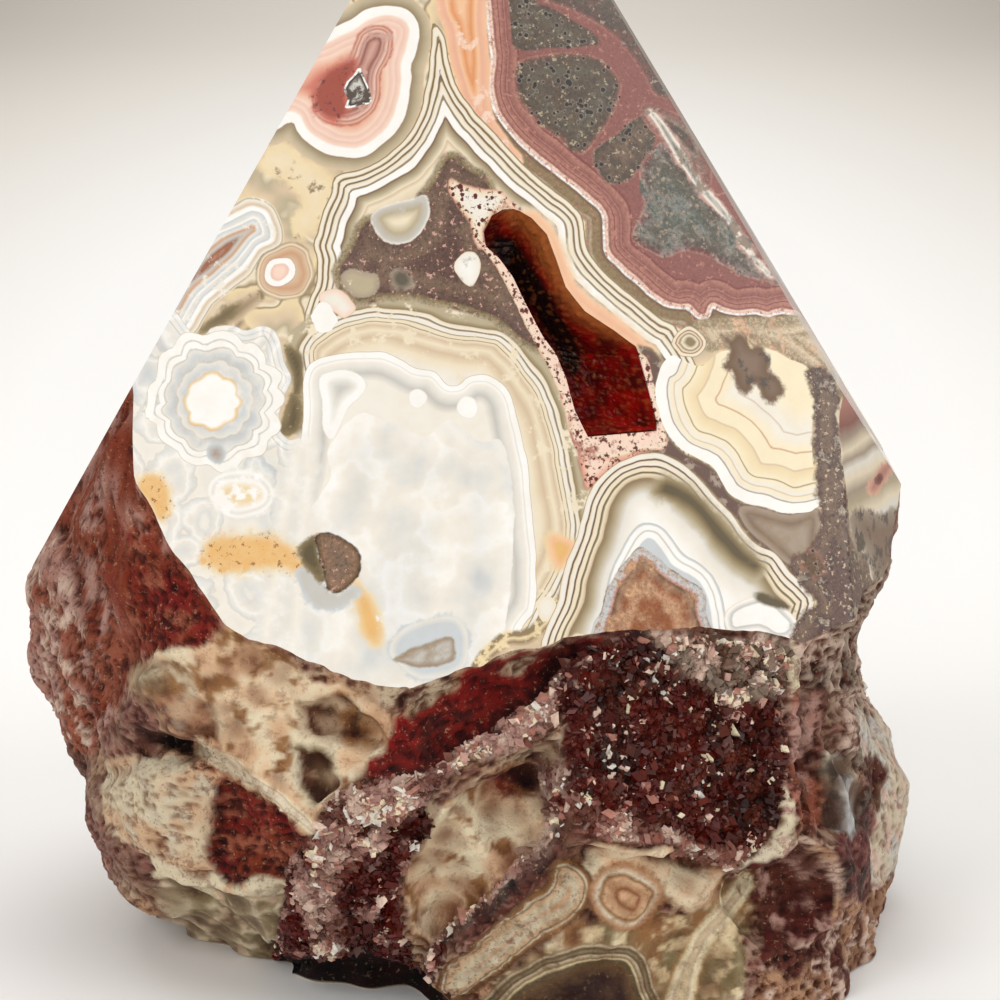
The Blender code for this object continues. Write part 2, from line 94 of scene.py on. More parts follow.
# Radius of the natural stone at these heights, for each bearing around the axis
PROFILE_STEP = 5.0
PROFILE_HEIGHTS = (0, 5, 10, 15, 20, 25, 30, 35, 40, 45)
PROFILES = {
    -180: (28.0, 31.0, 34.3, 35.6, 36.6, 37.6, 38.4, 38.6, 37.0, 35.0),
    -170: (27.0, 32.5, 34.0, 35.3, 36.8, 37.8, 38.6, 39.0, 37.5, 35.0),
    -160: (28.0, 32.0, 33.8, 35.0, 36.0, 37.0, 37.4, 37.8, 36.8, 34.5),
    -150: (25.5, 30.5, 33.3, 34.4, 35.3, 35.7, 35.7, 35.5, 34.6, 33.8),
    -140: (23.3, 28.5, 32.2, 33.8, 34.4, 34.5, 34.2, 33.7, 32.8, 31.5),
    -130: (23.5, 28.0, 30.8, 31.8, 32.5, 32.6, 32.2, 31.6, 30.5, 29.5),
    -115: (23.0, 27.0, 29.5, 30.5, 30.8, 30.5, 29.6, 29.0, 28.0, 27.0),
    -100: (22.6, 26.5, 28.5, 29.5, 29.6, 29.2, 28.8, 28.0, 27.0, 26.0),
    -85: (26.5, 28.5, 29.5, 29.8, 29.3, 28.6, 28.6, 28.0, 27.0, 26.0),
    -70: (29.5, 30.0, 31.0, 30.8, 29.6, 27.8, 26.6, 26.5, 26.0, 25.0),
    -55: (33.0, 32.5, 32.3, 31.6, 30.2, 28.6, 27.4, 27.0, 26.5, 26.0),
    -40: (38.5, 37.0, 36.0, 34.8, 33.4, 31.8, 30.8, 31.0, 31.0, 30.0),
    -28: (37.5, 36.5, 36.0, 35.3, 34.6, 34.0, 33.8, 34.0, 33.5, 33.0),
    -15: (35.0, 36.0, 36.2, 35.6, 34.2, 33.6, 34.0, 35.5, 35.5, 34.0),
    0: (35.5, 37.0, 37.6, 37.0, 34.6, 34.0, 35.2, 36.6, 36.6, 35.0),
    15: (35.5, 36.8, 37.0, 36.0, 34.6, 34.3, 35.0, 35.0, 34.0, 33.0),
    35: (32.0, 33.5, 34.5, 34.0, 33.5, 33.0, 32.0, 30.5, 28.5, 27.0),
    60: (28.0, 30.0, 31.0, 31.5, 31.5, 31.0, 30.0, 28.7, 27.0, 26.0),
    90: (25.5, 28.0, 30.0, 31.0, 31.5, 31.5, 31.0, 30.3, 29.0, 28.0),
    120: (26.5, 29.0, 30.5, 31.5, 31.8, 31.0, 29.5, 27.5, 25.5, 25.0),
    145: (28.5, 30.5, 32.0, 33.0, 33.5, 32.8, 31.5, 30.0, 28.5, 28.0),
    165: (28.5, 32.0, 34.2, 35.6, 36.8, 37.6, 38.0, 38.0, 36.0, 34.0),
}
# Under the edge of the polish the profiles and the relief come in over these heights. The natural stone
# stays this far inside the facet planes, less over a lump, and bends off them this softly
EDGE_BLEND = 6.0
RELIEF_BLEND = 2.0
SAW_MARGIN = 0.5
SAW_MARGIN_PER_LUMP = 0.3
SAW_SOFTNESS = 0.7
LEAST_SOFTNESS = 0.01

# Lumps all over the natural stone: height, waves around, waves up this much of the stone, phase
LUMP_CLIMB = 10.0
LUMPS = ((0.55, 5, 1.3, 0.4), (0.45, 9, -2.1, 1.9), (0.35, 14, 3.4, 4.0), (0.30, 23, -5.2, 2.2),
         (0.22, 31, 7.3, 5.1))
# Swells and hollows away from the front: bearing, height up the stone, half width, rise
SWELLS = ((60, 20, 10, 1.7), (95, 12, 8, -1.9), (130, 25, 11, 1.8), (152, 10, 9, -1.5),
          (22, 28, 7, -1.6), (4, 12, 8, 1.2), (176, 22, 9, 1.1), (110, 31, 7, -1.4), (36, 9, 8, 1.3),
          (75, 33, 6, 0.9), (140, 36, 6, -1.0))

# The front view: how far off it is taken, its tilt, what it looks at, and where that shows
VIEW_DISTANCE = 280.0
VIEW_TILT = np.radians(14.0)
VIEW_TARGET = np.array((1.832, 0.0, 37.70))
VIEW_CENTRE = np.array((1.936, 35.464))
# Outlines of the pattern are rows of counts across and down the front view, in units of this many
# millimetres, with the axis and the foot at these counts
UNIT = 0.088
AXIS_ACROSS = 478
FOOT_DOWN = 903

# Depths are no lower than this far outside an outline
FAR_OUTSIDE = 4.0

# Sines of the bearings between which the relief of the front comes in
FRONT_STARTS = 0.133
FRONT_FULL = -0.2
# Relief on the front: rise, softness, outline as millimetres across from the axis and up, in a row
PATCHES = {
    "druse_boulder": (2.6, 1.6, (8.1, 21.4, 12.5, 23.1, 19.5, 23.8, 24.8, 23.1, 27.5, 21.4, 26.8, 17.9,
        26.1, 12.6, 27, 7.3, 25.7, 4.2, 22.6, 3.3, 19.5, 4.7, 12.5, 4.7, 8.5, 5.5, 7.2, 9.1, 6.8, 13.5,
        7.7, 17.9)),
    "maroon_seam": (-1.5, 1.6, (-6.9, 16.1, -3.3, 18.7, 0.2, 20.5, 7.2, 22.7, 8.5, 21.8, 7.2, 19.6,
        1.9, 14.8, -3.3, 12.1, -7.3, 11.7)),
    "pale_window": (-1.6, 1.8, (-6, 2, -4.2, 5.5, -1.6, 9.1, 1.1, 9.9, 4.6, 11.3, 6.5, 10.8, 6.9, 7.3,
        5.5, 3.8, 1.9, 0.3, -1.6, -2.8, -3.3, -4.1, -4.7, -1.5)),
    "banded_foot": (-1.1, 1.8, (2.5, -1, 6.5, 3.4, 10.7, 4.7, 19.5, 4.5, 22.6, 3.1, 23.1, 0.3, 22.2, -5,
        19.5, -10.5, -3.3, -10.4, -2.9, -6)),
    "right_pocket": (-3, 1.8, (23.5, 2, 25.3, 3.8, 27.5, 5.1, 29.4, 4, 30.5, 2, 30.5, -1.1, 28.3, -3.3,
        25.3, -3.3, 23.5, -1.1)),
    "upright_slot": (-3.2, 1.7, (27.9, 17.9, 29.4, 18.7, 30.3, 17.9, 29.9, 14.3, 30.8, 10.8, 31.2, 7.3,
        30.1, 6.4, 28.5, 9.5, 27.3, 13.5)),
    "small_slot": (-2.2, 1.4, (31.7, 18.3, 32.7, 17.9, 32, 15.2, 32.7, 11.7, 31.9, 12.1, 30.8, 14.8)),
    "grey_hollow": (-1.7, 1.6, (-14.6, 17.9, -12.6, 17.9, -9.5, 15.7, -8.2, 13.9, -10.4, 12.6, -13, 13,
        -14.6, 14.8)),
    "left_bump": (1.3, 1.8, (-30.6, 19.6, -27.5, 20.9, -24.5, 18.7, -24, 14.8, -28, 14.5, -30.6, 16.1)),
    "left_pit": (-2, 1.2, (-29.9, 14.5, -27.1, 14.2, -24, 13.3, -24.5, 12.4, -27.5, 12.8, -29.7, 13.5)),
    "pebbly_lump": (1.3, 1.6, (-32.8, 9.9, -29.7, 12.1, -25.3, 11.9, -23.4, 9.1, -24, 4.7, -25.3, 1.1,
        -28.9, 1.1, -31.9, 5.5)),
    "olive_foot": (-1.4, 1.2, (-27.1, 0.7, -17, 1, -17, -7.5, -28.7, -7.3)),
}
# Ridges on the front: rise, half width, course
RIDGES = {
    "crystal_ledge": (1.6, 2.4, (12.5, 22.3, 7.2, 16.5, 3.7, 13.9, -2.5, 10.8, -8.6, 11.7, -14.8, 6.4)),
    "blade": (1.2, 2.4, (6.8, 14.8, 7.5, 11.7, 7.2, 7.3, 5.9, 3.8, 1.9, -0.2, -2.9, -5, -3.3, -9)),
    "pocket_rim": (1.1, 2, (22.6, 3.1, 25.3, 4.7, 27.5, 6.2, 29.7, 5.1, 31.2, 2.9, 31.4, 0.3, 30.8, -1.9)),
    "pale_rib": (1, 2.2, (-17, 20.5, -13, 18.7, -9.1, 16.8, -5.5, 13.9)),
    "left_rib": (0.9, 2.2, (-22, 13.5, -18, 10.5, -14.5, 7)),
}

# The druse pocket: its facet, its left and right edges from the bottom up in front view units, and its
# rings going in: depth in millimetres, share of the outline, and shift towards its steeper left wall
POCKET_FACET = "front_right"
POCKET_LEFT = (588, 437, 575, 411, 566, 378, 556, 354, 542, 335, 527, 306, 513, 277, 499, 258, 486, 247,
    484, 233, 492, 216, 503, 209)
POCKET_RIGHT = (657, 440, 657, 421, 647, 383, 637, 347, 614, 330, 585, 311, 566, 287, 556, 258, 547, 234,
    532, 218, 520, 211, 511, 208)
POCKET_RINGS = ((0.0, 1.0, 0.0), (2.0, 0.93, 0.2), (4.0, 0.8, 0.7), (5.5, 0.6, 1.0), (6.3, 0.3, 1.1),
                (6.5, 0.0, 1.1))

# Where runs of columns meet: a bearing, an edge of the pocket, or the edge between two facets. Then the
# number of columns in each run, and of rows under the pocket, over it and above it
COLUMN_STOPS = (-176.0, ("front_left", "left"), ("front_left", "front_right"), "pocket_left",
                "pocket_right", ("front_right", "right"), ("right", "back_right"),
                ("back_right", "back_left"), ("back_left", "left"))
COLUMN_COUNTS = (50, 120, 22, 46, 84, 70, 44, 45, 44)
POINT_ROWS = (36, 84, 66)
BASE_ROWS = 162
# Above the pocket the columns straighten over this height, and the front edge's column keeps this many
# degrees off it
POCKET_CLEARANCE = 4.0
EDGE_CLEARANCE = 0.4
# Rows crowd towards the pocket's ends, and up the point by this power. They start this far over the
# edge of the polish
ROW_POWER = 1.15
SHELF_HEIGHT = 2.0

# Round parts of the pattern: centre in front view units, radius in millimetres, lobes, their height
ROUNDS = {
    "orb": ((216, 400), 4.5, 13, 0.1),
    "orb_core": ((214, 402), 2.05, 8, 0.16),
    "ring_halo": ((286, 272), 2.5, 5, 0.06),
    "small_ring": ((281, 272), 1.25, 3, 0.05),
    "white_drop": ((326, 318), 1.15, 4, 0.2),
    "dot_left": ((417, 398), 0.75, 3, 0.05),
    "dot_right": ((470, 407), 0.78, 4, 0.06),
    "small_blob": ((546, 608), 0.85, 3, 0.06),
    "little_eye": ((690, 343), 1.35, 4, 0.08),
    "grey_dot": ((216, 452), 0.9, 5, 0.12),
    "side_dot": ((882, 480), 0.4, 3, 0.03),
}
# Lines across the side face count up from this place along this direction of the front view
SIDE_START = (925, 569)
SIDE_LINES = np.array((-0.5, 0.86))
# The point's faces are sorted into tiles of the front view between these counts across and down. Each
# tile's material holds only the layers that reach it, to within this many millimetres
TILE_ACROSS = (310, 480, 640)
TILE_DOWN = (180, 340, 480)
TILE_REACH = 1.3

# The pattern on the polished faces in the order it is laid down: softness of the edge in millimetres,
# colours at depths inside it in millimetres, specks as kind and colour or a texture, and the outline.
# The round parts have theirs above, and the pocket's wall counts from the facet in
PATTERN = {
    "straw_patch": (0.9, "-0.4 straw, 2 cream", ("spots", "taupe"), (270, 150, 285, 146, 300, 160, 320, 172,
        330, 185, 326, 205, 315, 225, 302, 236, 295, 222, 305, 200, 292, 182, 272, 172, 262, 162)),
    "mauve": (0.05,
        "-1.7 tan, -1.45 taupe, -1.2 sage, -1 olive, -0.4 olive, -0.1 umber, 0 white, 0.12 white, "
        "0.2 pink, 0.42 blush, 0.5 rose, 0.62 mauve, 0.72 rose, 0.95 rose, 1.02 crimson, 1.1 rose, "
        "1.5 mauve, 1.58 rose, 1.68 mauve, 2.3 rose, 2.45 crimson, 2.6 mauve, 5 mauve", "stippled",
        (484, -40, 487, 20, 490, 55, 489, 90, 494, 112, 507, 131, 522, 147, 538, 161, 555, 173, 571, 187,
        587, 201, 601, 213, 603, 232, 603, 249, 610, 261, 626, 276, 643, 290, 661, 304, 678, 309, 687, 307,
        691, 313, 698, 320, 705, 320, 711, 315, 714, 307, 724, 312, 738, 315, 753, 313, 767, 317, 781, 313,
        840, 312, 900, 200, 700, -300, 480, -300, 488, -130)),
    "rock_top": (0.3, "0 mauve, 0.15 rock, 1.2 moss, 2.5 rock", "porous", (500, -60, 508, 0, 511, 29,
        516, 50, 546, 50, 578, 48, 600, 42, 588, 28, 556, 10, 532, -4, 520, -60)),
    "rock_rim": (0.3, "0 rose, 0.15 mauve, 0.4 rock, 2.5 moss", "grainy", (538, -60, 542, -4, 566, 8,
        598, 24, 620, 44, 636, 64, 648, 84, 656, 96, 680, 96, 760, 60, 700, -60)),
    "rock_middle": (0.2, "0 rose, 0.2 mauve, 0.45 rock, 1.6 moss, 3 rock", "porous", (518, 62, 537, 55,
        560, 54, 590, 54, 608, 64, 621, 82, 619, 98, 611, 115, 597, 141, 582, 154, 566, 146, 554, 136,
        531, 118, 516, 95, 513, 78)),
    "rock_small": (0.2, "0 rose, 0.25 rock, 2 drab", "porous", (592, 153, 604, 141, 614, 134, 632, 118,
        650, 115, 658, 139, 647, 158, 638, 172, 628, 182, 609, 184, 596, 168)),
    "rock_edge": (0.3, "0 rose, 0.2 mauve, 0.9 stone, 1.1 rock, 2 moss", "grainy", (640, 108, 656, 104,
        700, 130, 712, 186, 690, 166, 668, 143, 652, 132)),
    "rock_large": (0.2, "0 rose, 0.25 crimson, 0.7 rock, 1.5 moss, 3 slate", "mossy", (641, 168, 652, 152,
        668, 145, 700, 178, 732, 214, 764, 256, 790, 286, 768, 282, 746, 275, 722, 265, 702, 256, 685, 251,
        671, 258, 656, 256, 641, 247, 631, 237, 637, 222, 643, 205, 639, 187)),
    "rock_vein": (0.5, "0 lilac, 0.2 milk, 0.5 rock, 0.9 milk", ("blotches", "stone"), (644, 110, 654, 108,
        664, 122, 684, 150, 706, 182, 730, 212, 752, 246, 774, 274, 766, 276, 744, 250, 722, 218, 698, 190,
        676, 160, 660, 134, 652, 120)),
    "orange_patch": (0.3, "-0.1 peach, 0.6 salmon, 0.9 peach, 1.3 apricot, 1.9 peach", ("spots", "blush"),
        (436, -60, 438, 10, 446, 30, 450, 60, 457, 82, 464, 100, 480, 122, 498, 146, 514, 166, 524, 160,
        508, 140, 494, 120, 488, 95, 489, 60, 486, 20, 484, -60)),
    "eye": (0.25,
        "-1.2 tan, -0.7 sage, -0.1 taupe, 0 white, 0.75 white, 0.95 blush, 1.3 pink, 1.45 blush, 1.8 pink, "
        "2 blush, 2.6 salmon, 3.4 coral", None, (349, 22, 362, 12, 376, 7, 390, 6, 405, 10, 415, 20, 419, 33,
        415, 50, 409, 66, 410, 84, 407, 106, 398, 128, 380, 146, 359, 156, 338, 156, 319, 149, 306, 141,
        297, 130, 291, 121, 270, 132, 240, 110, 290, 50, 320, 35)),
    "eye_heart": (0.25,
        "0 coral, 0.1 rose, 0.24 salmon, 0.4 rose, 0.52 pink, 0.7 lilac, 0.8 rose, 0.9 lilac, 1.15 mauve, "
        "1.3 rose, 1.6 lilac", ("spots", "lilac"), (361, 30, 378, 24, 392, 31, 394, 46, 388, 62, 380, 74,
        381, 92, 374, 112, 356, 124, 336, 126, 318, 118, 311, 100, 316, 82, 330, 72, 345, 62, 353, 44)),
    "eye_brick": (0.9, "-0.5 coral, 0.1 brick, 1.5 brick", ("dust", "crimson"), (352, 62, 340, 68, 326, 76,
        317, 92, 320, 108, 333, 117, 345, 112, 341, 98, 344, 82, 352, 72)),
    "eye_core": (0.05, "0 white, 0.14 white, 0.2 black, 0.3 rock, 0.5 silver, 1.2 white", ("blotches",
        "rock"), (359, 66, 364, 78, 370, 90, 371, 104, 362, 105, 353, 108, 344, 108, 348, 98, 343, 92,
        347, 82, 353, 76)),
    "lace": (0.05,
        "0 olive, 0.08 olive, 0.14 cream, 0.28 milk, 0.42 cream, 0.5 olive, 0.6 umber, 0.68 cream, "
        "0.92 milk, 1 umber, 1.1 olive, 1.18 cream, 1.46 milk, 1.56 olive, 1.64 taupe, 1.72 white, "
        "2.2 white, 2.3 umber, 2.42 taupe, 2.8 sage, 3.2 cream, 3.3 tan, 3.6 cream, 5 tan", None, (433, 24,
        443, 34, 449, 62, 456, 84, 469, 104, 487, 126, 509, 149, 533, 173, 558, 193, 577, 210, 583, 227,
        585, 246, 596, 264, 616, 283, 641, 303, 663, 320, 680, 336, 700, 420, 600, 640, 400, 560, 330, 420,
        306, 345, 306, 318, 309, 300, 315, 283, 317, 262, 313, 246, 318, 232, 322, 216, 327, 204, 332, 192,
        333, 180, 340, 173, 354, 170, 373, 163, 392, 152, 408, 135, 418, 115, 424, 94, 428, 70, 430, 45)),
    "warm_wall": (1.2, "-0.5 cream, 0.1 peach, 0.7 salmon", None, (524, 213, 538, 215, 553, 232, 563, 256,
        575, 284, 594, 304, 622, 322, 645, 342, 655, 352, 640, 350, 614, 330, 585, 311, 566, 287, 556, 258,
        547, 234, 532, 218)),
    "shell": (0.5,
        "-1.3 sage, -0.5 sage, -0.1 olive, 0 cream, 0.24 milk, 0.31 olive, 0.39 taupe, 0.46 milk, "
        "0.74 milk, 0.81 olive, 0.9 cream, 1.12 cream, 1.19 taupe, 1.27 cream, 1.55 tan, 2 cream, 2.6 tan, "
        "3.4 cream, 4.5 milk", ("spots", "cream"), (306, 338, 320, 326, 342, 314, 377, 308, 419, 314,
        451, 324, 483, 329, 503, 333, 524, 354, 543, 380, 556, 408, 566, 443, 571, 475, 576, 504, 579, 530,
        576, 553, 562, 588, 546, 612, 530, 640, 480, 720, 330, 720, 320, 560, 312, 430, 304, 380, 300, 352)),
    "matrix": (0.35, "-0.8 sage, -0.2 olive, 0 matrix, 1.4 drab, 2.2 matrix", "matrix", (450, 159, 468, 172,
        487, 186, 487, 215, 484, 249, 499, 262, 515, 290, 530, 325, 540, 345, 527, 340, 500, 317, 472, 306,
        446, 301, 411, 293, 380, 292, 365, 298, 352, 294, 341, 277, 344, 263, 352, 250, 362, 230, 373, 222,
        380, 239, 395, 244, 412, 238, 424, 223, 426, 198, 440, 178)),
    "pale_inclusion": (0.15, "0 milk, 0.25 silver, 0.9 sage, 1.6 cream", ("spots", "silver"), (371, 220,
        377, 210, 390, 205, 410, 200, 427, 195, 428, 218, 416, 238, 396, 244, 380, 237)),
    "cream_chip": (0.05, "0 tan, 0.1 milk, 1 white", ("spots", "silver"), (454, 265, 466, 252, 478, 255,
        481, 271, 472, 287, 462, 281)),
    "grey_chip": (0.2, "0 ash, 0.6 sage", ("spots", "cream"), (341, 274, 352, 268, 365, 272, 378, 275,
        377, 290, 367, 298, 352, 296, 343, 286)),
    "grey_chip_low": (0.5, "0 ash, 0.6 moss", ("dust", "matrix"), (392, 272, 402, 268, 411, 274, 412, 286,
        400, 291, 391, 284)),
    "rim_rock": (0.3, "0 salmon, 0.3 cream, 0.8 milk", "crumbly", (450, 178, 462, 184, 480, 190, 497, 190,
        512, 200, 521, 210, 508, 207, 494, 214, 485, 228, 484, 242, 480, 250, 474, 240, 469, 222, 458, 208,
        449, 192)),
    "salmon_rock": (0.3, "0 rose, 0.3 salmon, 0.8 blush", "crumbly", (578, 438, 592, 450, 622, 451, 655, 445,
        668, 448, 645, 455, 622, 462, 606, 472, 596, 482, 587, 492, 581, 478, 578, 460)),
    "dark_gap": (0.3, "0 olive, 0.3 matrix, 0.8 matrix", ("blotches", "ash"), (638, 345, 652, 350, 662, 365,
        656, 385, 656, 400, 663, 420, 673, 440, 688, 455, 712, 466, 722, 480, 732, 496, 748, 505, 744, 520,
        760, 535, 780, 552, 800, 562, 818, 600, 806, 590, 790, 574, 775, 556, 758, 547, 744, 532, 730, 512,
        712, 495, 695, 475, 675, 461, 655, 455, 640, 456, 655, 446, 664, 440, 657, 421, 647, 383, 637, 347)),
    "pocket_rim": (0.12, "0 salmon, 0.2 cream, 0.4 blush", "crumbly", (480, 244, 494, 266, 507, 288,
        520, 314, 534, 342, 546, 364, 556, 388, 566, 418, 574, 444, 590, 456, 620, 456, 644, 450, 666, 450,
        668, 436, 662, 416, 654, 385, 644, 356, 620, 345, 585, 325, 550, 300, 520, 262, 500, 244)),
    "wedge": (0.4, "0 olive, 0.5 bronze", ("spots", "sage"), (283, 343, 297, 350, 304, 362, 302, 385,
        300, 402, 303, 420, 296, 432, 288, 436, 279, 430, 284, 412, 292, 392, 291, 372, 286, 356)),
    "wedge_dark": (0.6, "0 olive, 0.7 bronze", ("dust", "taupe"), (291, 392, 301, 400, 303, 420, 295, 434,
        281, 430, 286, 412)),
    "upper_wedge": (0.4, "0 tan, 0.8 taupe", ("spots", "olive"), (199, 335, 207, 322, 222, 308, 243, 297,
        258, 289, 263, 298, 252, 312, 240, 322, 222, 327, 208, 332)),
    "upper_dark": (0.7, "0 olive, 0.8 bronze", None, (199, 335, 208, 321, 224, 308, 242, 302, 232, 318,
        214, 328)),
    "left_eye": (0.06,
        "0 cream, 0.15 sage, 0.25 milk, 0.6 tan, 0.85 white, 1.1 white, 1.2 mist, 1.6 pearl, 1.75 white, "
        "1.9 mist, 2.2 pearl, 2.4 clay, 2.7 silver, 3 rust, 3.4 lilac, 3.8 clay", ("spots", "milk"),
        (238, 201, 255, 197, 271, 204, 281, 220, 284, 240, 276, 250, 265, 256, 252, 273, 233, 290, 214, 305,
        204, 321, 194, 336, 160, 350, 120, 320, 190, 230)),
    "left_mass": (0.06,
        "0 taupe, 0.08 white, 0.4 white, 0.48 silver, 0.58 white, 0.85 white, 0.95 sage, 1.05 white, "
        "1.3 milk, 2.2 pearl, 3 mist, 4 pearl, 5.5 mist, 6.5 milk, 9 milk", ("rings", None), (196, 337,
        213, 327, 232, 325, 246, 331, 262, 325, 274, 330, 281, 345, 284, 360, 291, 378, 286, 393, 281, 412,
        279, 428, 290, 440, 303, 440, 320, 470, 330, 720, 60, 720, 60, 400, 150, 300)),
    "orb": (0.1,
        "-1.5 sage, -1.4 white, -0.75 white, -0.62 silver, -0.5 white, -0.15 white, -0.04 silver, "
        "0.1 pearl, 0.6 mist, 1.1 silver, 1.25 pearl, 1.9 mist, 2.5 pearl, 2.8 straw", ("haze", "milk"),
        None),
    "orb_core": (0.35, "-0.35 ochre, -0.2 straw, 0 white, 0.5 white", None, None),
    "curl": (0.7, "0 pearl, 0.3 white, 0.6 pearl, 0.9 white, 1.6 straw", ("blotches", "white"), (206, 492,
        214, 478, 232, 470, 254, 470, 270, 480, 276, 496, 268, 510, 250, 518, 228, 518, 212, 508)),
    "white_mass": (0.05,
        "0 taupe, 0.06 white, 0.5 white, 0.6 pearl, 0.7 white, 0.95 milk, 1.3 pearl, 1.9 silver, 2.6 milk",
        None, (303, 421, 303, 383, 310, 366, 323, 358, 345, 353, 377, 352, 397, 357, 416, 367, 435, 371,
        447, 384, 457, 384, 467, 376, 486, 375, 502, 383, 513, 399, 518, 424, 526, 453, 529, 479, 531, 507,
        534, 536, 537, 562, 537, 597, 531, 619, 521, 630, 480, 740, 280, 740, 280, 560, 296, 470)),
    "cumulus": (0.15, "0 white, 0.6 white, 1.2 milk, 1.7 pearl, 3 mist, 4.2 pearl, 6 milk, 8 mist",
        ("clouds", None), (326, 452, 340, 430, 352, 418, 366, 414, 382, 419, 400, 425, 414, 436, 428, 438,
        438, 426, 450, 421, 462, 427, 472, 437, 486, 442, 500, 438, 508, 452, 511, 480, 514, 520, 512, 570,
        506, 612, 480, 740, 290, 740, 288, 560, 318, 500, 330, 474)),
    "join": (1.4, "-0.7 pearl, 0.2 milk, 0.8 pearl", ("haze", "white"), (298, 452, 310, 452, 307, 520,
        298, 600, 288, 690, 262, 690, 270, 600, 282, 520)),
    "knob": (0.15, "0 pearl, 0.1 white, 0.6 white, 1 pearl, 1.6 silver", None, (322, 376, 338, 370, 356, 373,
        366, 385, 360, 398, 348, 408, 340, 425, 331, 440, 323, 428, 322, 405, 320, 388)),
    "dot_left": (0.06, "-0.14 pearl, 0 white", None, None),
    "dot_right": (0.06, "-0.14 pearl, 0 white", None, None),
    "grey_dot": (0.3, "0 mist, 0.7 ash", None, None),
    "ring_halo": (0.3, "0 taupe, 0.25 cream, 0.4 clay, 0.5 tan, 1 clay, 1.7 tan", None, None),
    "small_ring": (0.05, "0 rose, 0.08 white, 0.5 white, 0.6 pink, 0.9 blush", None, None),
    "petals": (0.1, "0 tan, 0.1 blush, 0.6 milk", None, (320, 293, 335, 288, 350, 298, 357, 308, 345, 318,
        335, 310, 322, 302)),
    "white_drop": (0.05, "0 white, 1 white", None, None),
    "ochre_band": (1.2, "-0.4 straw, 0.5 ochre, 1.5 ochre", "stained", (205, 548, 216, 538, 240, 535,
        270, 537, 291, 548, 306, 572, 282, 567, 255, 568, 230, 571, 208, 564)),
    "ochre_patch": (0.9, "-0.3 straw, 0.3 ochre, 1 ochre", "stained", (141, 479, 151, 474, 162, 479,
        169, 494, 167, 513, 160, 520, 148, 501, 138, 488)),
    "ochre_streak": (1, "-0.4 straw, 0.5 ochre", ("spots", "milk"), (354, 584, 366, 594, 380, 622, 377, 645,
        365, 634, 358, 608)),
    "core_halo": (0.5, "0 mist, 0.5 silver", None, (294, 574, 304, 566, 330, 590, 352, 586, 362, 592,
        346, 606, 326, 612, 306, 603)),
    "core_shadow": (0.6, "0 olive, 0.6 bronze", None, (300, 545, 316, 534, 320, 550, 324, 572, 330, 592,
        318, 583, 306, 568, 298, 556)),
    "brown_core": (0.2, "0 black, 0.14 umber, 0.5 brown, 1.5 drab", "matrix", (316, 533, 333, 534, 352, 545,
        361, 558, 360, 574, 349, 587, 336, 593, 326, 588, 322, 570, 318, 550)),
    "foot_halo": (0.5, "0 mist, 0.3 pearl, 0.8 mist", None, (388, 655, 396, 632, 414, 622, 436, 616,
        456, 616, 468, 630, 470, 650, 462, 672, 420, 680)),
    "foot_inclusion": (0.3, "0 taupe, 0.2 ash, 0.6 silver", ("haze", "taupe"), (393, 661, 406, 651, 432, 641,
        451, 638, 455, 648, 451, 663, 425, 667, 405, 664)),
    "olive_corner": (0.4, "0 olive, 0.5 taupe, 0.7 straw, 1 taupe, 1.4 tan", ("blotches", "straw"),
        (470, 668, 488, 645, 505, 632, 524, 629, 545, 612, 560, 590, 572, 562, 581, 575, 574, 598, 600, 618,
        560, 660, 500, 700, 460, 710)),
    "orange_wedge": (0.8, "0 straw, 0.5 peach, 1 ochre", None, (546, 533, 560, 531, 576, 540, 578, 552,
        570, 566, 560, 572, 552, 565, 546, 550)),
    "small_blob": (0.06, "0 cream, 0.5 milk", None, None),
    "grey_corner": (0.2, "0 matrix, 0.2 ash, 0.8 drab, 1.5 ash", ("haze", "taupe"), (742, 505, 760, 505,
        790, 514, 818, 507, 823, 530, 818, 560, 795, 570, 772, 552, 750, 534, 738, 515)),
    "arch": (0.05,
        "0 umber, 0.08 cream, 0.2 milk, 0.48 milk, 0.56 umber, 0.64 umber, 0.72 cream, 1.04 milk, "
        "1.12 umber, 1.2 umber, 1.28 cream, 1.56 cream, 1.64 bronze, 1.74 olive, 1.84 cream, 2.1 tan, "
        "2.2 olive, 2.4 taupe, 2.9 sage, 3.6 pearl, 4.2 milk, 5.4 white", None, (540, 660, 556, 604,
        566, 566, 576, 538, 581, 520, 587, 500, 598, 478, 615, 463, 635, 455, 655, 454, 675, 460, 695, 474,
        712, 494, 730, 511, 744, 531, 758, 546, 776, 554, 790, 572, 804, 586, 816, 600, 812, 616, 800, 650,
        760, 700, 600, 700)),
    "arch_shade": (1.2, "-0.5 sage, 0.1 olive, 0.5 bronze", None, (666, 480, 690, 491, 712, 511, 731, 533,
        748, 553, 762, 566, 754, 574, 736, 562, 716, 541, 698, 519, 678, 502, 656, 492)),
    "inner_arch": (0.05,
        "0 silver, 0.15 mist, 0.25 white, 0.55 white, 0.68 silver, 0.8 white, 1.2 white, 1.35 mist", None,
        (592, 628, 601, 609, 609, 580, 618, 554, 629, 534, 644, 523, 661, 527, 672, 540, 684, 554, 701, 563,
        712, 574, 721, 594, 727, 623, 724, 690, 590, 690)),
    "arch_core": (0.2,
        "0 rock, 0.1 silver, 0.5 mist, 0.8 lilac, 1 umber, 1.3 brown, 1.9 rust, 2.6 clay, 3.2 rust", "burnt",
        (590, 650, 600, 612, 607, 589, 620, 569, 632, 552, 641, 547, 652, 554, 672, 569, 689, 580, 704, 592,
        706, 612, 712, 640, 700, 690, 600, 690)),
    "arch_foot": (0.1, "0 cream, 0.2 white, 0.6 silver, 0.75 white", None, (727, 609, 750, 596, 773, 597,
        799, 622, 790, 638, 775, 640, 758, 632, 730, 634)),
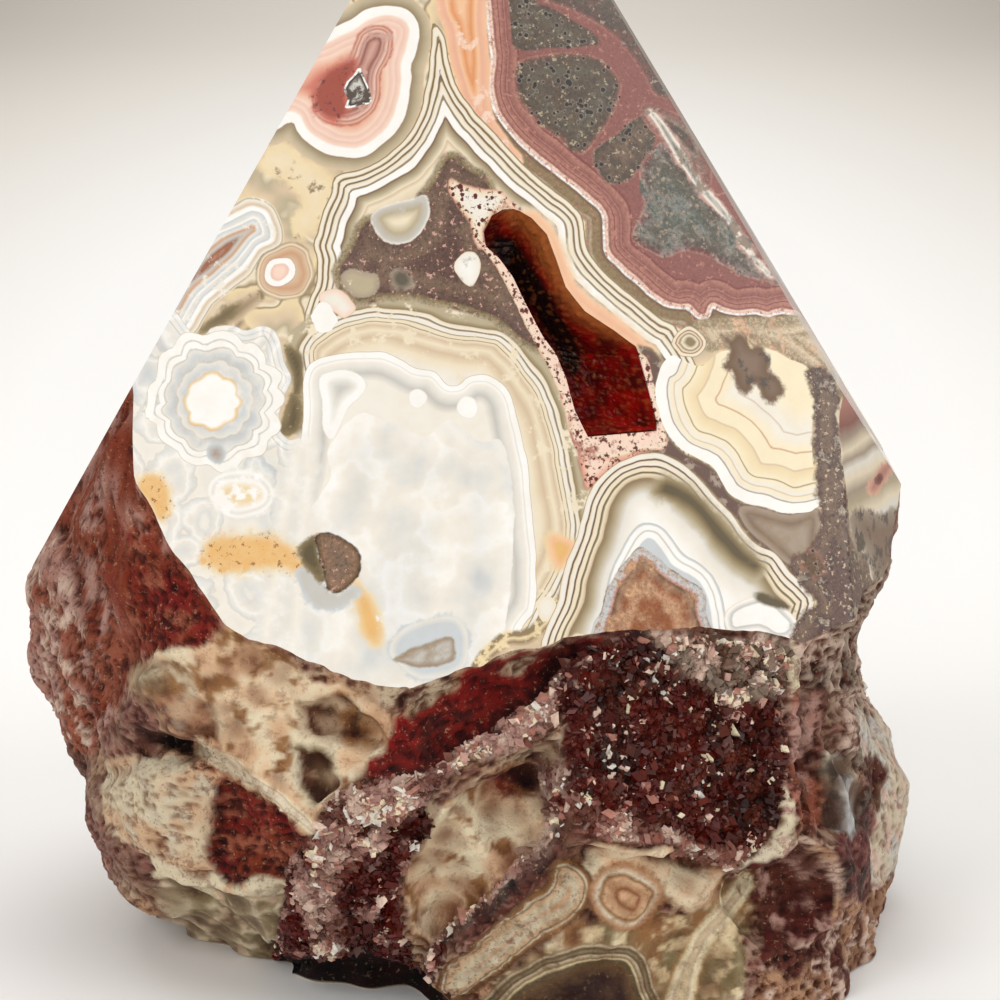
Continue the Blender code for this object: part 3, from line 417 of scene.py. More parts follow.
    "foot_lens": (0.4, "0 bronze, 0.4 bronze", None, (750, 594, 764, 592, 784, 602, 796, 612, 780, 608,
        762, 603)),
    "cream_band": (0.25, "0 tan, 0.15 cream, 0.5 milk", None, (498, 674, 530, 652, 560, 640, 584, 633,
        588, 642, 560, 654, 530, 668, 505, 686)),
    "tan_corner": (0.4, "-0.2 olive, 0.5 taupe, 1.2 tan, 1.6 taupe, 2.2 tan", "rusty", (698, 322, 740, 320,
        790, 318, 840, 320, 850, 385, 838, 400, 826, 420, 815, 400, 808, 375, 790, 360, 770, 348, 750, 338,
        730, 340, 715, 350, 700, 342)),
    "fan": (0.05,
        "0 white, 0.9 white, 0.98 taupe, 1.08 milk, 1.5 ivory, 1.58 tan, 1.68 milk, 2.3 ivory, 2.38 taupe, "
        "2.5 ivory, 3.6 straw, 3.7 tan, 3.84 ivory, 5 ivory, 5.1 clay, 5.24 ivory, 6.6 milk, 6.7 tan, "
        "6.84 milk, 9 ivory", None, (672, 356, 662, 366, 656, 382, 656, 400, 662, 420, 672, 439, 687, 454,
        712, 465, 721, 480, 730, 494, 747, 503, 767, 506, 790, 514, 819, 506, 816, 480, 811, 451, 813, 422,
        814, 394, 810, 371, 790, 360, 770, 350, 740, 350, 718, 352, 701, 365, 684, 362)),
    "fan_patch": (0.5, "0 drab, 0.3 umber, 1.2 drab", ("spots", "rock"), (721, 335, 730, 340, 741, 333,
        753, 345, 764, 348, 770, 362, 768, 372, 778, 376, 786, 391, 776, 402, 764, 398, 757, 384, 748, 394,
        738, 388, 730, 372, 720, 368, 729, 352)),
    "little_eye": (0.05,
        "0 umber, 0.08 cream, 0.25 cream, 0.35 rust, 0.45 cream, 0.6 taupe, 0.75 cream, 1 olive", None,
        None),
    "strip": (0.5, "0 umber, 0.3 matrix, 0.8 drab, 1.8 matrix", "rough", (806, 372, 822, 366, 838, 384,
        839, 423, 842, 454, 847, 501, 853, 540, 867, 557, 880, 590, 870, 660, 790, 660, 800, 615, 818, 603,
        800, 585, 786, 562, 800, 552, 812, 545, 822, 520, 820, 506, 816, 480, 813, 450, 814, 420, 812, 394)),
    "porous_patch": (0.5, "0 rose, 0.5 umber", "porous", (800, 555, 812, 548, 824, 556, 826, 572, 812, 580,
        802, 570)),
    "side_face": (0.05,
        "0 tan, 3.5 milk, 4.4 cream, 5.4 ash, 6.2 pearl, 7 cream, 8 sage, 9 ash, 10 cream, 10.9 milk, "
        "11.6 ash, 12.4 cream, 13.4 ash, 14.4 mauve, 16 rose", None, (840, 378, 843, 393, 839, 423, 842, 454,
        847, 501, 853, 540, 867, 557, 880, 584, 960, 560, 960, 440, 870, 350)),
    "side_grey": (0.6, "0 ash, 0.6 stone, 1.5 drab", ("blotches", "rock"), (848, 515, 862, 508, 880, 512,
        900, 510, 920, 520, 900, 570, 880, 590, 866, 560, 862, 548, 858, 560)),
    "side_pink": (0.5, "0 salmon, 0.5 rose", None, (868, 486, 880, 466, 892, 454, 897, 462, 886, 482,
        874, 494)),
    "side_dot": (0.2, "0 mauve, 0.3 maroon", None, None),
    "pocket_wall": (0.1, "0.2 salmon, 0.35 apricot, 0.7 russet, 1.5 maroon, 2.6 blood", None, None),
}
# Bands that count from another outline than their own, and the outline of the fan's lines
LINES = {"fan": "fan_lines", "side_face": "side_lines"}
FAN_LINES = (672, 352, 662, 366, 656, 382, 656, 400, 662, 420, 672, 439, 687, 454, 712, 465, 721, 480,
    730, 494, 747, 503, 767, 506, 790, 514, 826, 508, 900, 500, 900, 200, 700, 200)
# Edges softer than this are frayed by a noise, and those softer still by more of it: size, detail and
# roughness of the noise, and its two shares
FRAY_FROM = 0.1
WIDE_FRAY_FROM = 0.45
FRAY_NOISE = (1.1, 4.0, 0.65)
FRAY_SHARES = (0.5, 1.6)
# Bands under the pattern, by the value of a slow noise, and faint clouds over it all
GROUND_NOISE = (9.0, 3.0, 0.45)
CLOUD_NOISE = (1.6, 4.0, 0.6)
CLOUD_SHARE = 0.12
GROUND_BANDS = ("0.3 tan, 0.36 cream, 0.38 taupe, 0.39 straw, 0.43 tan, 0.46 cream, 0.47 taupe, "
                "0.48 straw, 0.53 tan, 0.56 sage, 0.58 cream, 0.6 tan, 0.68 straw")
# Noise that specks come from: size in millimetres, detail, roughness
SPECK_NOISE = {"fine": (0.45, 3, 0.7), "coarse": (1.5, 5, 0.65), "slow": (2.6, 3), "rough": (0.28, 3, 0.75)}
# Specks: their noise, where their mask starts and is full, and its strength
SPECKS = {
    "dust": ("fine", 0.58, 0.66, 1),
    "specks": ("fine", 0.54, 0.62, 1),
    "spots": ("coarse", 0.55, 0.65, 1),
    "blotches": ("coarse", 0.5, 0.6, 1),
    "haze": ("coarse", 0.4, 0.75, 0.7),
    "grit": ("rough", 0.4, 0.7, 0.5),
}
# Sizes of the cells of pores, of pale rings and of pale clouds
PORE_SIZE = 0.62
RING_SIZE = 3.4
CLOUD_SIZE = 4.6
# What a texture is made of: the kind of each speck and its colour
TEXTURES = {
    "porous": (("haze", "umber"), ("spots", "rock"), ("dust", "sage"), ("grit", "black"),
        ("rims", "ash"), ("pores", "black")),
    "grainy": (("haze", "mauve"), ("dust", "ash"), ("grit", "black")),
    "mossy": (("haze", "silver"), ("spots", "slate"), ("specks", "stone"), ("dust", "ash"),
        ("grit", "black")),
    "stippled": (("grit", "crimson"), ("dust", "rose")),
    "matrix": (("spots", "drab"), ("grit", "black"), ("dust", "lilac")),
    "crumbly": (("spots", "rose"), ("specks", "chestnut"), ("pores", "maroon")),
    "stained": (("haze", "straw"), ("blotches", "ochre"), ("dust", "caramel")),
    "burnt": (("blotches", "umber"), ("spots", "caramel"), ("haze", "peach"), ("grit", "chestnut")),
    "rusty": (("blotches", "clay"), ("dust", "olive"), ("grit", "cream")),
    "rough": (("blotches", "soot"), ("spots", "ash"), ("dust", "tan"), ("grit", "black")),
}
# Rings of the pale cells in the white masses, by distance from the middle in shares of a cell
CELL_RINGS = ("0 white, 0.18 pearl, 0.24 mist, 0.4 pearl, 0.46 white, 0.58 mist, 0.62 silver, 0.66 milk, "
              "0.9 pearl")
CELL_CLOUDS = "0 mist, 0.3 pearl, 0.5 milk, 0.62 white, 0.9 milk"
# Regions of the natural front: softness of the edge, its two mottled colours and its flecks, how
# crystalline, waxy and pitted its surface is and how far it stands out, then its outline
REGIONS = {
    "bevel": (0.66, ("bark", "russet", "lilac"), (0, 0, 0.6, 0), (0, 380, 140, 380, 165, 540, 235, 640,
        200, 660, 150, 665, 125, 690, 100, 740, 60, 740, 0, 620)),
    "bevel_edge": (1.1, ("bark", "lilac", "blush"), (0, 0, 0.6, 0.5), (20, 540, 60, 530, 75, 600,
        85, 680, 95, 740, 60, 740, 20, 620)),
    "bevel_deep": (1.65, ("scarlet", "russet", "bark"), (0, 0, 0.6, 0), (120, 520, 165, 560, 225, 635,
        190, 655, 130, 650, 105, 590)),
    "fractured": (0.44, ("sand", "ivory", "caramel"), (0, 1, 0, 0), (128, 672, 160, 655, 200, 650, 232, 630,
        290, 655, 340, 680, 372, 690, 412, 735, 395, 752, 372, 766, 350, 800, 335, 820, 318, 828, 298, 812,
        268, 790, 240, 768, 215, 758, 195, 742, 160, 738, 130, 702)),
    "olive_bump": (0.44, ("taupe", "caramel", "tan"), (0, 0.8, 0.1, 0.4), (128, 672, 150, 664, 185, 668,
        192, 690, 188, 735, 160, 735, 131, 705)),
    "rust_bump": (0.77, ("rust", "clay", "chestnut"), (0, 0.5, 0.2, 0.3), (150, 702, 175, 698,
        198, 712, 206, 735, 180, 742, 155, 735)),
    "brown_gap": (0.55, ("caramel", "tan", "umber"), (0, 0.8, 0, -0.9), (300, 700, 318, 690, 345, 690,
        368, 708, 384, 738, 360, 745, 330, 742, 305, 730)),
    "olive_hollow": (0.55, ("tan", "taupe", "cream"), (0, 1, 0, -0.9), (292, 742, 330, 745, 345, 775,
        338, 800, 318, 812, 300, 790)),
    "red_slope": (0.39, ("russet", "scarlet", "bark"), (0, 0, 0.6, -0.4), (205, 776, 225, 766, 245, 782,
        275, 802, 300, 822, 315, 838, 300, 862, 285, 886, 240, 880, 215, 870, 205, 850, 212, 820)),
    # Painted shadow: black in the pit under the olive bump, over its real recess
    "left_pit": (0.35, ("black", "soot", "maroon"), (0, 0, 0.4, -0.9), (132, 735, 158, 738, 190, 745,
        205, 752, 190, 762, 160, 757, 138, 748)),
    "rust_rim": (0.39, ("rust", "russet", "peach"), (0, 0, 0.6, 0), (150, 752, 190, 755, 215, 748, 222, 762,
        205, 778, 170, 768, 150, 765)),
    "pebbly": (0.44, ("ivory", "sand", "cream"), (0, 0.4, 0.35, 0), (100, 770, 130, 765, 180, 762, 203, 775,
        212, 800, 207, 845, 200, 872, 165, 868, 120, 855, 95, 800)),
    "cream_edge": (0.35, ("ivory", "ivory", "sand"), (0, 0.5, 0, 0.5), (150, 860, 190, 865, 240, 876,
        290, 882, 288, 896, 240, 892, 180, 886, 150, 880)),
    "olive_foot": (0.35, ("taupe", "olive", "tan"), (0, 1, 0, 0), (165, 882, 200, 885, 240, 890, 290, 894,
        292, 985, 160, 985)),
    "dark_crust": (0.44, ("soot", "maroon", "lilac"), (0.8, 0, 0, 0), (288, 880, 300, 850,
        320, 825, 345, 800, 375, 785, 420, 800, 430, 830, 410, 860, 400, 890, 405, 930, 420, 960, 440, 1010,
        270, 1010, 280, 930)),
    "crust_top": (0.5, ("chestnut", "lilac", "blush"), (1, 0, 0, 0.2), (310, 850, 330, 815,
        365, 782, 400, 778, 420, 800, 400, 822, 372, 838, 345, 862, 330, 900, 345, 940, 320, 945, 300, 900)),
    "seam": (0.39, ("ruby", "scarlet", "maroon"), (0.1, 0, 0.4, -0.5), (395, 722, 420, 712, 450, 690,
        480, 672, 510, 668, 540, 655, 575, 638, 600, 634, 590, 650, 560, 690, 530, 715, 500, 740, 450, 760,
        400, 775, 372, 770)),
    "ledge": (0.5, ("chestnut", "lilac", "blush"), (1, 0, 0, 0.4), (620, 640, 630, 655,
        600, 690, 560, 720, 520, 745, 480, 765, 440, 785, 400, 810, 350, 835, 320, 860, 310, 845, 340, 815,
        370, 780, 410, 768, 460, 750, 510, 715, 550, 680, 585, 650)),
    "window": (0.39, ("sand", "ivory", "caramel"), (0, 1, 0, -0.3), (415, 900, 425, 850, 445, 808, 475, 790,
        505, 775, 530, 765, 550, 775, 552, 810, 540, 845, 510, 880, 480, 905, 450, 930, 438, 960, 420, 940)),
    "window_rust": (0.66, ("russet", "caramel", "maroon"), (0.1, 0.3, 0.3, -0.3), (490, 772, 530, 760,
        548, 770, 545, 800, 520, 805, 500, 798)),
    "blade": (0.35, ("lilac", "maroon", "blush"), (0.9, 0, 0, 0.5), (546, 760, 562, 765, 566, 800,
        560, 835, 540, 865, 500, 900, 460, 930, 442, 965, 430, 1000, 418, 990, 432, 950, 455, 918, 495, 885,
        530, 850, 548, 815, 550, 780)),
    "blade_line": (0.35, ("soot", "blood", "black"), (0.3, 0, 0.3, -0.4), (436, 985, 446, 950,
        470, 925, 510, 893, 545, 862, 560, 838, 565, 812, 560, 812, 552, 838, 535, 860, 500, 888, 460, 920,
        440, 948, 430, 985)),
    "boulder": (0.44, ("soot", "maroon", "chestnut"), (0.75, 0, 0, 0), (566, 660, 600, 640,
        650, 625, 700, 628, 760, 635, 792, 645, 796, 690, 788, 740, 785, 790, 790, 830, 770, 850, 735, 868,
        700, 858, 640, 845, 590, 838, 566, 820, 562, 780, 566, 720)),
    "boulder_grey": (1.1, ("drab", "ash", "blush"), (1, 0, 0, 0), (650, 630, 700, 630, 760, 640,
        785, 650, 785, 690, 760, 700, 700, 690, 660, 660)),
    "boulder_foot": (0.5, ("chestnut", "rose", "blush"), (1, 0, 0, 0.1), (575, 800, 600, 815,
        650, 828, 700, 838, 745, 838, 760, 850, 735, 868, 700, 858, 640, 845, 590, 838, 568, 822)),
    "boulder_rim": (0.3, ("ivory", "cream", "lilac"), (0.2, 0.3, 0.3, 0.6), (790, 640, 804, 644,
        806, 700, 802, 760, 804, 815, 794, 848, 768, 868, 742, 876, 734, 866, 756, 848, 772, 826, 784, 786,
        786, 740, 782, 700, 784, 660)),
    "shell_flake": (0.35, ("ivory", "sand", "peach"), (0, 1, 0, 0.8), (590, 842, 640, 850, 700, 862,
        728, 870, 722, 892, 705, 910, 680, 915, 655, 905, 640, 925, 600, 920, 575, 890)),
    "low_olive": (0.44, ("caramel", "olive", "straw"), (0, 1, 0, 0), (520, 960, 560, 925, 600, 925, 650, 920,
        700, 912, 735, 880, 750, 900, 740, 960, 720, 1040, 500, 1040)),
    "right_pocket": (0.35, ("chestnut", "maroon", "lilac"), (0.4, 0, 0.4, -0.1), (742, 872,
        770, 860, 800, 845, 820, 862, 830, 900, 826, 935, 800, 950, 780, 1010, 765, 1010, 760, 930,
        745, 900)),
    "pocket_edge": (0.35, ("blush", "clay", "rose"), (0.2, 0.2, 0.4, 0.3), (795, 838, 815, 840,
        832, 862, 840, 900, 836, 930, 828, 925, 830, 895, 822, 868, 805, 850)),
    "slot": (0.35, ("bark", "lilac", "chestnut"), (0.2, 0, 0.6, 0.7), (795, 695, 815, 692, 822, 720,
        820, 760, 830, 800, 828, 835, 812, 828, 800, 800, 788, 770, 785, 730)),
    "right_rock": (0.55, ("ash", "blush", "chestnut"), (0.1, 0.1, 0.8, 0), (800, 600, 850, 590,
        900, 560, 900, 700, 872, 740, 868, 790, 850, 760, 838, 720, 825, 690, 798, 690, 792, 640)),
    "blue_patch": (0.35, ("drab", "mist", "rock"), (0, 1, 0, 0), (832, 750, 848, 765, 858, 800,
        850, 830, 836, 838, 830, 800)),
    "purple_patch": (0.39, ("soot", "crimson", "mauve"), (0.1, 0.3, 0.3, 0), (835, 838, 852, 828,
        862, 790, 872, 800, 872, 850, 868, 890, 838, 908, 836, 870)),
    "far_edge": (0.44, ("pearl", "cream", "blush"), (0, 0.5, 0.3, 0), (866, 700, 890, 700, 920, 760,
        915, 870, 880, 880, 872, 850, 878, 800, 868, 760)),
    "lens": (0.35, ("chestnut", "umber", "maroon"), (0, 0.2, 0.4, -0.9), (870, 762, 882, 760, 890, 780,
        884, 806, 874, 806, 868, 785)),
    "low_right": (0.44, ("chestnut", "clay", "blush"), (0.3, 0, 0.6, 0), (780, 950, 826, 935,
        860, 900, 900, 880, 900, 1040, 760, 1040)),
    # Painted shadow: black under the overhang of the foot, over a real recess
    "painted_shadow_under": (0.5, ("black", "soot", "black"), (0.1, 0, 0.2, -2), (275, 968, 310, 955,
        360, 950, 410, 955, 440, 985, 440, 1060, 260, 1060)),
}
# Banded pieces of the natural front, listed as the pattern is
BASE_PATTERN = {
    "low_bands": (0.3,
        "0 olive, 0.2 tan, 0.4 bronze, 0.65 taupe, 0.85 bronze, 1 tan, 1.25 olive, 1.4 straw, 1.6 bronze, "
        "2.1 umber, 3.2 soot", ("haze", "umber"), (470, 1010, 500, 985, 530, 965, 570, 945, 610, 940,
        640, 950, 655, 985, 660, 1040, 460, 1040)),
    "low_stripe": (0.8, "0 caramel, 0.3 straw, 0.6 ivory, 0.8 tan, 1.2 straw", ("haze", "taupe"), (742, 872,
        758, 886, 730, 926, 706, 962, 694, 1010, 690, 1050, 660, 1050, 664, 1000, 680, 958, 706, 918)),
    "finger": (0.4,
        "0 chestnut, 0.2 umber, 0.45 caramel, 0.6 cream, 0.75 taupe, 0.85 sand, 1.3 ivory, 1.7 cream, "
        "1.9 sand", ("haze", "caramel"), (556, 862, 576, 862, 590, 878, 592, 898, 580, 918, 556, 934,
        532, 950, 508, 972, 482, 990, 455, 1004, 436, 990, 448, 966, 474, 942, 500, 920, 528, 900,
        546, 884)),
    "swirl": (0.7, "0 caramel, 0.4 clay, 0.8 cream, 1.1 caramel, 1.35 sand, 1.9 clay, 2.2 rust, 2.6 peach",
        ("haze", "caramel"), (644, 868, 664, 886, 656, 914, 634, 930, 608, 926, 590, 906, 588, 882, 602, 866,
        624, 860)),
    "slope_band": (0.9, "0 sand, 0.3 ivory, 0.45 tan, 0.6 cream", ("haze", "caramel"), (198, 738, 222, 752,
        255, 770, 290, 795, 318, 822, 330, 840, 318, 842, 298, 824, 268, 802, 236, 782, 212, 768, 196, 752)),
}

# Behind this depth the pattern drifts away from the front view, over this run and this far
DRIFT_STARTS = -1.0
DRIFT_RUN = 14.0
DRIFT = np.array((-14.0, 6.0))
DRIFT_WAVER = 9.0
WAVER_SIZE = 13.0
# All outlines ripple by this much, and the round ones more: how far, and how wide the ripples are
OUTLINE_RIPPLE = 0.28
RIPPLE_SIZE = 2.4
ROUND_RIPPLE = 0.7
ROUND_SIZE = 3.0

# Height of the hidden inner caps of the point and of the base, and shares of their rings
CAP_HEIGHT = 36.0
CAP_GAP = 0.4
CAP_SHARES = (0.96, 0.7, 0.35)
FOOT_SHARES = (0.35, 0.7, 0.9, 0.97)

# Crystals of the crust in the pocket: columns around it, rings of its front and back, gaps to the wall
CRUST_COLUMNS = (110, 240, 30, 240)
CRUST_FRONT = 110
CRUST_BACK = 8
CRUST_EDGE = 0.985
CRUST_BACK_GAP = 0.08
CRUST_GAP = 0.45
# Its small crystals as a share of the large, the run over which they grow in from its edge, the size of
# its mottles, and the random share over which crystals get painted amber glints, and how much
CRUST_SMALL = 0.5
CRUST_FADE = 0.03
CRUST_MOTTLE = 1.4
CRUST_GLINTS = 0.8
CRUST_GLINT_SHARE = 0.3
# Its amber zone, and a black zone of painted shadow in the deep left of the pocket, over the red: softness,
# outline in front view units
CRUST_ZONES = {
    "amber": (1.8, (512, 206, 545, 218, 566, 252, 586, 286, 646, 338, 610, 334, 572, 312, 546, 268, 528, 236,
        506, 218)),
    "black": (1, (488, 244, 500, 232, 520, 244, 542, 275, 558, 305, 578, 340, 582, 368, 568, 378, 552, 342,
        530, 305, 505, 268)),
}

PALETTE = {
    "white": (250, 248, 243), "milk": (240, 234, 222), "cream": (238, 224, 196), "ivory": (246, 232, 198),
    "straw": (236, 214, 170), "tan": (214, 191, 160), "taupe": (150, 128, 96), "olive": (141, 122, 84),
    "bronze": (95, 82, 55), "sage": (186, 172, 142), "pearl": (230, 226, 217), "silver":
    (200, 197, 190), "mist": (203, 208, 210), "ash": (168, 150, 132), "drab": (129, 104, 84),
    "umber": (108, 78, 48), "brown": (150, 116, 90), "matrix": (103, 76, 66), "rock": (82, 68, 56), "moss":
    (96, 88, 72), "black": (20, 14, 13), "pink": (236, 196, 180), "blush": (244, 214, 194), "salmon":
    (232, 176, 150), "rose": (181, 124, 108), "mauve": (140, 85, 76), "lilac": (205, 160, 146),
    "stone": (145, 128, 111), "brick": (160, 74, 56), "rust": (150, 88, 48), "clay":
    (205, 158, 122), "ochre": (232, 184, 116), "peach": (243, 196, 156), "maroon": (95, 24, 16),
    "chestnut": (104, 48, 34), "soot": (48, 18, 14), "blood": (82, 10, 9), "amber":
    (170, 96, 48), "crimson": (118, 50, 48), "coral": (206, 116, 98), "apricot": (226, 150, 96),
    "caramel": (164, 116, 70), "sand": (236, 196, 156), "russet": (146, 60, 30), "bark": (176, 98, 72),
    "slate": (78, 92, 80), "scarlet": (142, 28, 18), "ruby": (150, 14, 9),
}
QUARTZ_IOR = 1.54
# Roughness of the polish and of the rind, and how much less of it wax and crystals have
POLISH_ROUGHNESS = 0.16
RIND_ROUGHNESS = 0.78
WAX_GLOSS = 0.42
CRYSTAL_GLOSS = 0.4
# Flecks of the natural surface: size, detail and roughness of the fine and the coarse ones, how strong
# dark and pale ones are, and how deep they seem
FINE_FLECKS = (0.45, 5.0, 0.75)
COARSE_FLECKS = (1.3, 6.0, 0.75)
DARK_FLECKS = 0.7
PALE_FLECKS = 0.45
BUMP_DEPTH = 0.65
# Colours of the rind in its two kinds of patch: two mottled ones and its flecks
RIND_COLOURS = (("clay", "tan", "chestnut"), ("chestnut", "mauve", "rose"))
# How far the edges of the natural regions wander, in waves of what size, and how far in from them a
# region stands out fully. Then how crystalline, waxy and pitted the rind is and how far it stands out
REGION_WARP = 1.9
REGION_SIZE = 4.2
SINK_RUN = 1.3
RIND_LOOKS = np.array((0.0, 0.4, 0.5, 0.0))
# Sizes of the mottles, the flecks and the slow change of the rind
MOTTLE_SIZE = 3.0
FLECK_SIZE = 1.2
RIND_SIZE = 12.0
# Painted shade in the hollows: how far the surface is averaged to find its hollows, how lit its average
# is, the full depth of a hollow, and the shares of red, green and blue that the painted shade takes away
HOLLOW_PASSES = 24
HOLLOW_LEVEL = 0.74
HOLLOW_RUN = 0.7
PAINTED_SHADE_TINT = np.array((0.6, 0.75, 0.81, 0.0))
# Widths of the small druse crystals as a share of the large ones, and in millimetres of the blocks, the
# pits, the grain, the grooves and the scoops
SMALL_DRUSE = 0.55
BLOCK_SIZE = 4.6
PIT_SIZE = 0.9
GRAIN_SIZE = 1.3
GROOVE_SIZE = 3.6
SCOOP_SIZES = (6.5, 2.4)
# The fine relief fades out over these heights under the edge of the polish and over the foot
RIM_FADE = 1.2
FOOT_FADE = 0.8
# Columns over this wide are averaged up the stone this often
WIDE_SPACING = 0.42
WIDE_PASSES = 8
# Painted shade in small creases, and a painted highlight on small crests of the waxy broken surface: how
# far it is averaged to find them, their full depth or height, and how pale the painted highlight gets
CREST_PASSES = 6
CREST_RISE = 0.22
CREST_HIGHLIGHT = 0.55
# Crystals of the druse whose random share is over this are paler, where it is more crystalline than this,
# by this much, and more on the crests as a painted highlight. The foot and the inner cap are this waxy
PALE_CRYSTALS = 0.6
PALE_DRUSE = 0.6
PALE_AND_HIGHLIGHT_STRENGTH = 0.7
FOOT_WAX = 0.6
# Loose grains lie where the surface is more crystalline than this, this far off its edges. Their lean,
# how their widths vary and within what range, how each side is stretched and skewed, and how much of
# their own colour pale and dark ones have
GRAIN_DRUSE = 0.4
GRAIN_MARGIN = 0.8
GRAIN_LEAN = 0.6
GRAIN_VARIES = 0.4
GRAIN_RANGE = (0.45, 2.3)
GRAIN_STRETCH = (0.3, 1.4)
GRAIN_SKEW = 0.7
GRAIN_OWN = (0.9, 0.35)
# Their colours: this many pale ones, then the dark ones. Pale ones sit on the crests as a painted highlight;
# the crests run from this far under the average of the surface to this far over it
GRAIN_PALE = 5
GRAIN_CREST = 0.7
GRAIN_COLOURS = ("milk", "ivory", "blush", "lilac", "rose", "chestnut", "maroon", "soot", "soot", "black")
# Edges sharper than this many degrees are crisp, on the facets and on the crystals
FACET_SHARP = 12.0
CRYSTAL_SHARP = 32.0

# The camera of the front view, in millimetres
CAMERA_LENS = 114.545
CAMERA_SENSOR = 36.0
# Painted light on the paper: palest around this place, as a pool of light, and greying over this spread
PAPER_MIDDLE = (0.0, 0.25, 0.0)
PAPER_SPREAD = (0.24, 0.9, 1.0)
PAPER_LIGHT_FALLOFF = ((0.3, (0.95, 0.94, 0.92, 1.0)), (0.6, (0.78, 0.74, 0.68, 1.0)),
                (1.0, (0.5, 0.46, 0.41, 1.0)))
# The paper lies this far before and behind the stone, then bends up with this radius in this many
# steps: all but the last as shares of its width
FLOOR_BEFORE = 0.7
FLOOR_BEHIND = 0.25
FLOOR_BEND = 0.3
FLOOR_STEPS = 24
WORLD_COLOUR = (1.0, 0.98, 0.96, 1.0)
WORLD_STRENGTH = 0.42
# Soft lights: name, place in metres, share of the power, share of the width
SOFT_LIGHTS = (("upper_left", (-0.9, -0.9, 1.1), 0.95, 0.8), ("right", (1.1, -0.5, 0.8), 0.55, 0.8),
               ("front", (0.0, -1.4, 0.3), 0.6, 0.8), ("overhead", (0.0, 0.35, 1.6), 2.2, 1.9))
LIGHT_TARGET = Vector((0.0, 0.0, 0.04))


def smooth_step(value):
    """0 below 0, 1 above 1, and 3v^2 - 2v^3 between."""
    value = np.clip(value, 0.0, 1.0)
    return value * value * (3.0 - 2.0 * value)


def eased(share):
    """Even shares crowded towards both ends, as half a turn's cosine."""
    return (1.0 - np.cos(np.pi * share)) / 2.0


def passed(under, over, share):
    """One value passing into another by a share."""
    return under + (over - under) * share


def smooth_curve(part, before, start, end, after):
    """Cubic from start to end whose slopes come from the values on either side."""
    lead = (end - before) / 2
    trail = (after - start) / 2
    return (start * (1 + 2 * part) * (1 - part) ** 2 + lead * part * (1 - part) ** 2
            + end * part ** 2 * (3 - 2 * part) - trail * part ** 2 * (1 - part))


def profile_radius(bearings, heights):
    """Radius of the stated profiles, smooth around the stone and up it."""
    stops = np.array(sorted(PROFILES), float)
    table = np.array([PROFILES[stop] for stop in sorted(PROFILES)], float)
    turned = np.mod(bearings + 180.0, 360.0) - 180.0
    after = np.searchsorted(stops, turned, side="right")
    near = [(after + step) % len(stops) for step in (-2, -1, 0, 1)]
    span = (stops[near[2]] - stops[near[1]]) % 360.0
    part = ((turned - stops[near[1]]) % 360.0) / span
    level = np.clip(heights / PROFILE_STEP, 0.0, len(PROFILE_HEIGHTS) - 1.001)
    row = level.astype(int)
    rows = [np.clip(row + step, 0, len(PROFILE_HEIGHTS) - 1) for step in (-1, 0, 1, 2)]
    rings = [smooth_curve(level - row, *(table[column, each] for each in rows)) for column in near]
    return smooth_curve(part, *rings)


def scrambled(angle):
    """A number from 0 to 1: the fraction of a large multiple of the angle's sine."""
    mix = np.sin(angle) * SCRAMBLE
    return mix - np.floor(mix)


def lattice_noise(points, size, seed):
    """Noise from 0 to 1: a scrambled number at each corner of a cubic net, blended inside its cells."""
    place = points / size + CORNER_SEED * seed
    cell = np.floor(place)
    part = smooth_step(place - cell)
    total = np.zeros(points.shape[:-1])
    for corner in np.ndindex(2, 2, 2):
        weight = np.where(corner, part, 1.0 - part).prod(axis=-1)
        total += weight * scrambled((cell + corner) @ CORNER_WAY)
    return total


def layered_noise(points, size, layers, seed):
    """Noise from about -1 to 1: each layer has half the size and half the height of the one before."""
    total = np.zeros(points.shape[:-1])
    for layer in range(layers):
        total += (lattice_noise(points, size / 2 ** layer, seed + layer) - 0.5) / 2 ** layer
    return total


def noise_pair(points, size, layers, *seeds):
    """Layered noise across and up the front view."""
    return np.stack([layered_noise(points, size, layers, seed) for seed in seeds], -1)


def polish_edge(bearings):
    """Height of the edge of the polish: straight between the stated bearings, and finely chipped."""
    turned = np.mod(bearings + 180.0, 360.0) - 180.0
    stops = np.array([*POLISH_EDGE, 180.0])
    edge = np.interp(turned, stops, [*POLISH_EDGE.values(), POLISH_EDGE[-180]])
    turn = np.radians(turned)
    ring = np.stack((np.cos(turn), np.sin(turn), 0.0 * turn), -1) * CHIP_RING
    return edge + CHIP_HEIGHT * layered_noise(ring, CHIP_SIZE, 3, 5)


def facet_planes():
    """Each facet's outward direction and a point on it."""
    point = np.array((0.0, 0.0, HEIGHT))
    planes = {}
    for name, (bearing, run) in POINT_FACETS.items():
        turn = np.radians(bearing)
        normal = np.array((np.cos(turn), np.sin(turn), run))
        planes[name] = (normal / np.linalg.norm(normal), point)
    turn = np.radians(SIDE_BEARING)
    normal = np.array((np.cos(turn), np.sin(turn), np.tan(np.radians(SIDE_LEAN))))
    planes["side"] = (normal / np.linalg.norm(normal), SIDE_CORNER)
    return planes


def polished_radius(bearings, heights):
    """Distance from the axis out to the nearest facet plane."""
    turn = np.radians(bearings)
    nearest = np.full(np.broadcast(turn, heights).shape, np.inf)
    for normal, point in facet_planes().values():
        facing = normal[0] * np.cos(turn) + normal[1] * np.sin(turn)
        reach = (normal @ point - normal[2] * heights) / np.maximum(facing, 1e-6)
        nearest = np.where(facing > 1e-3, np.minimum(nearest, reach), nearest)
    return nearest


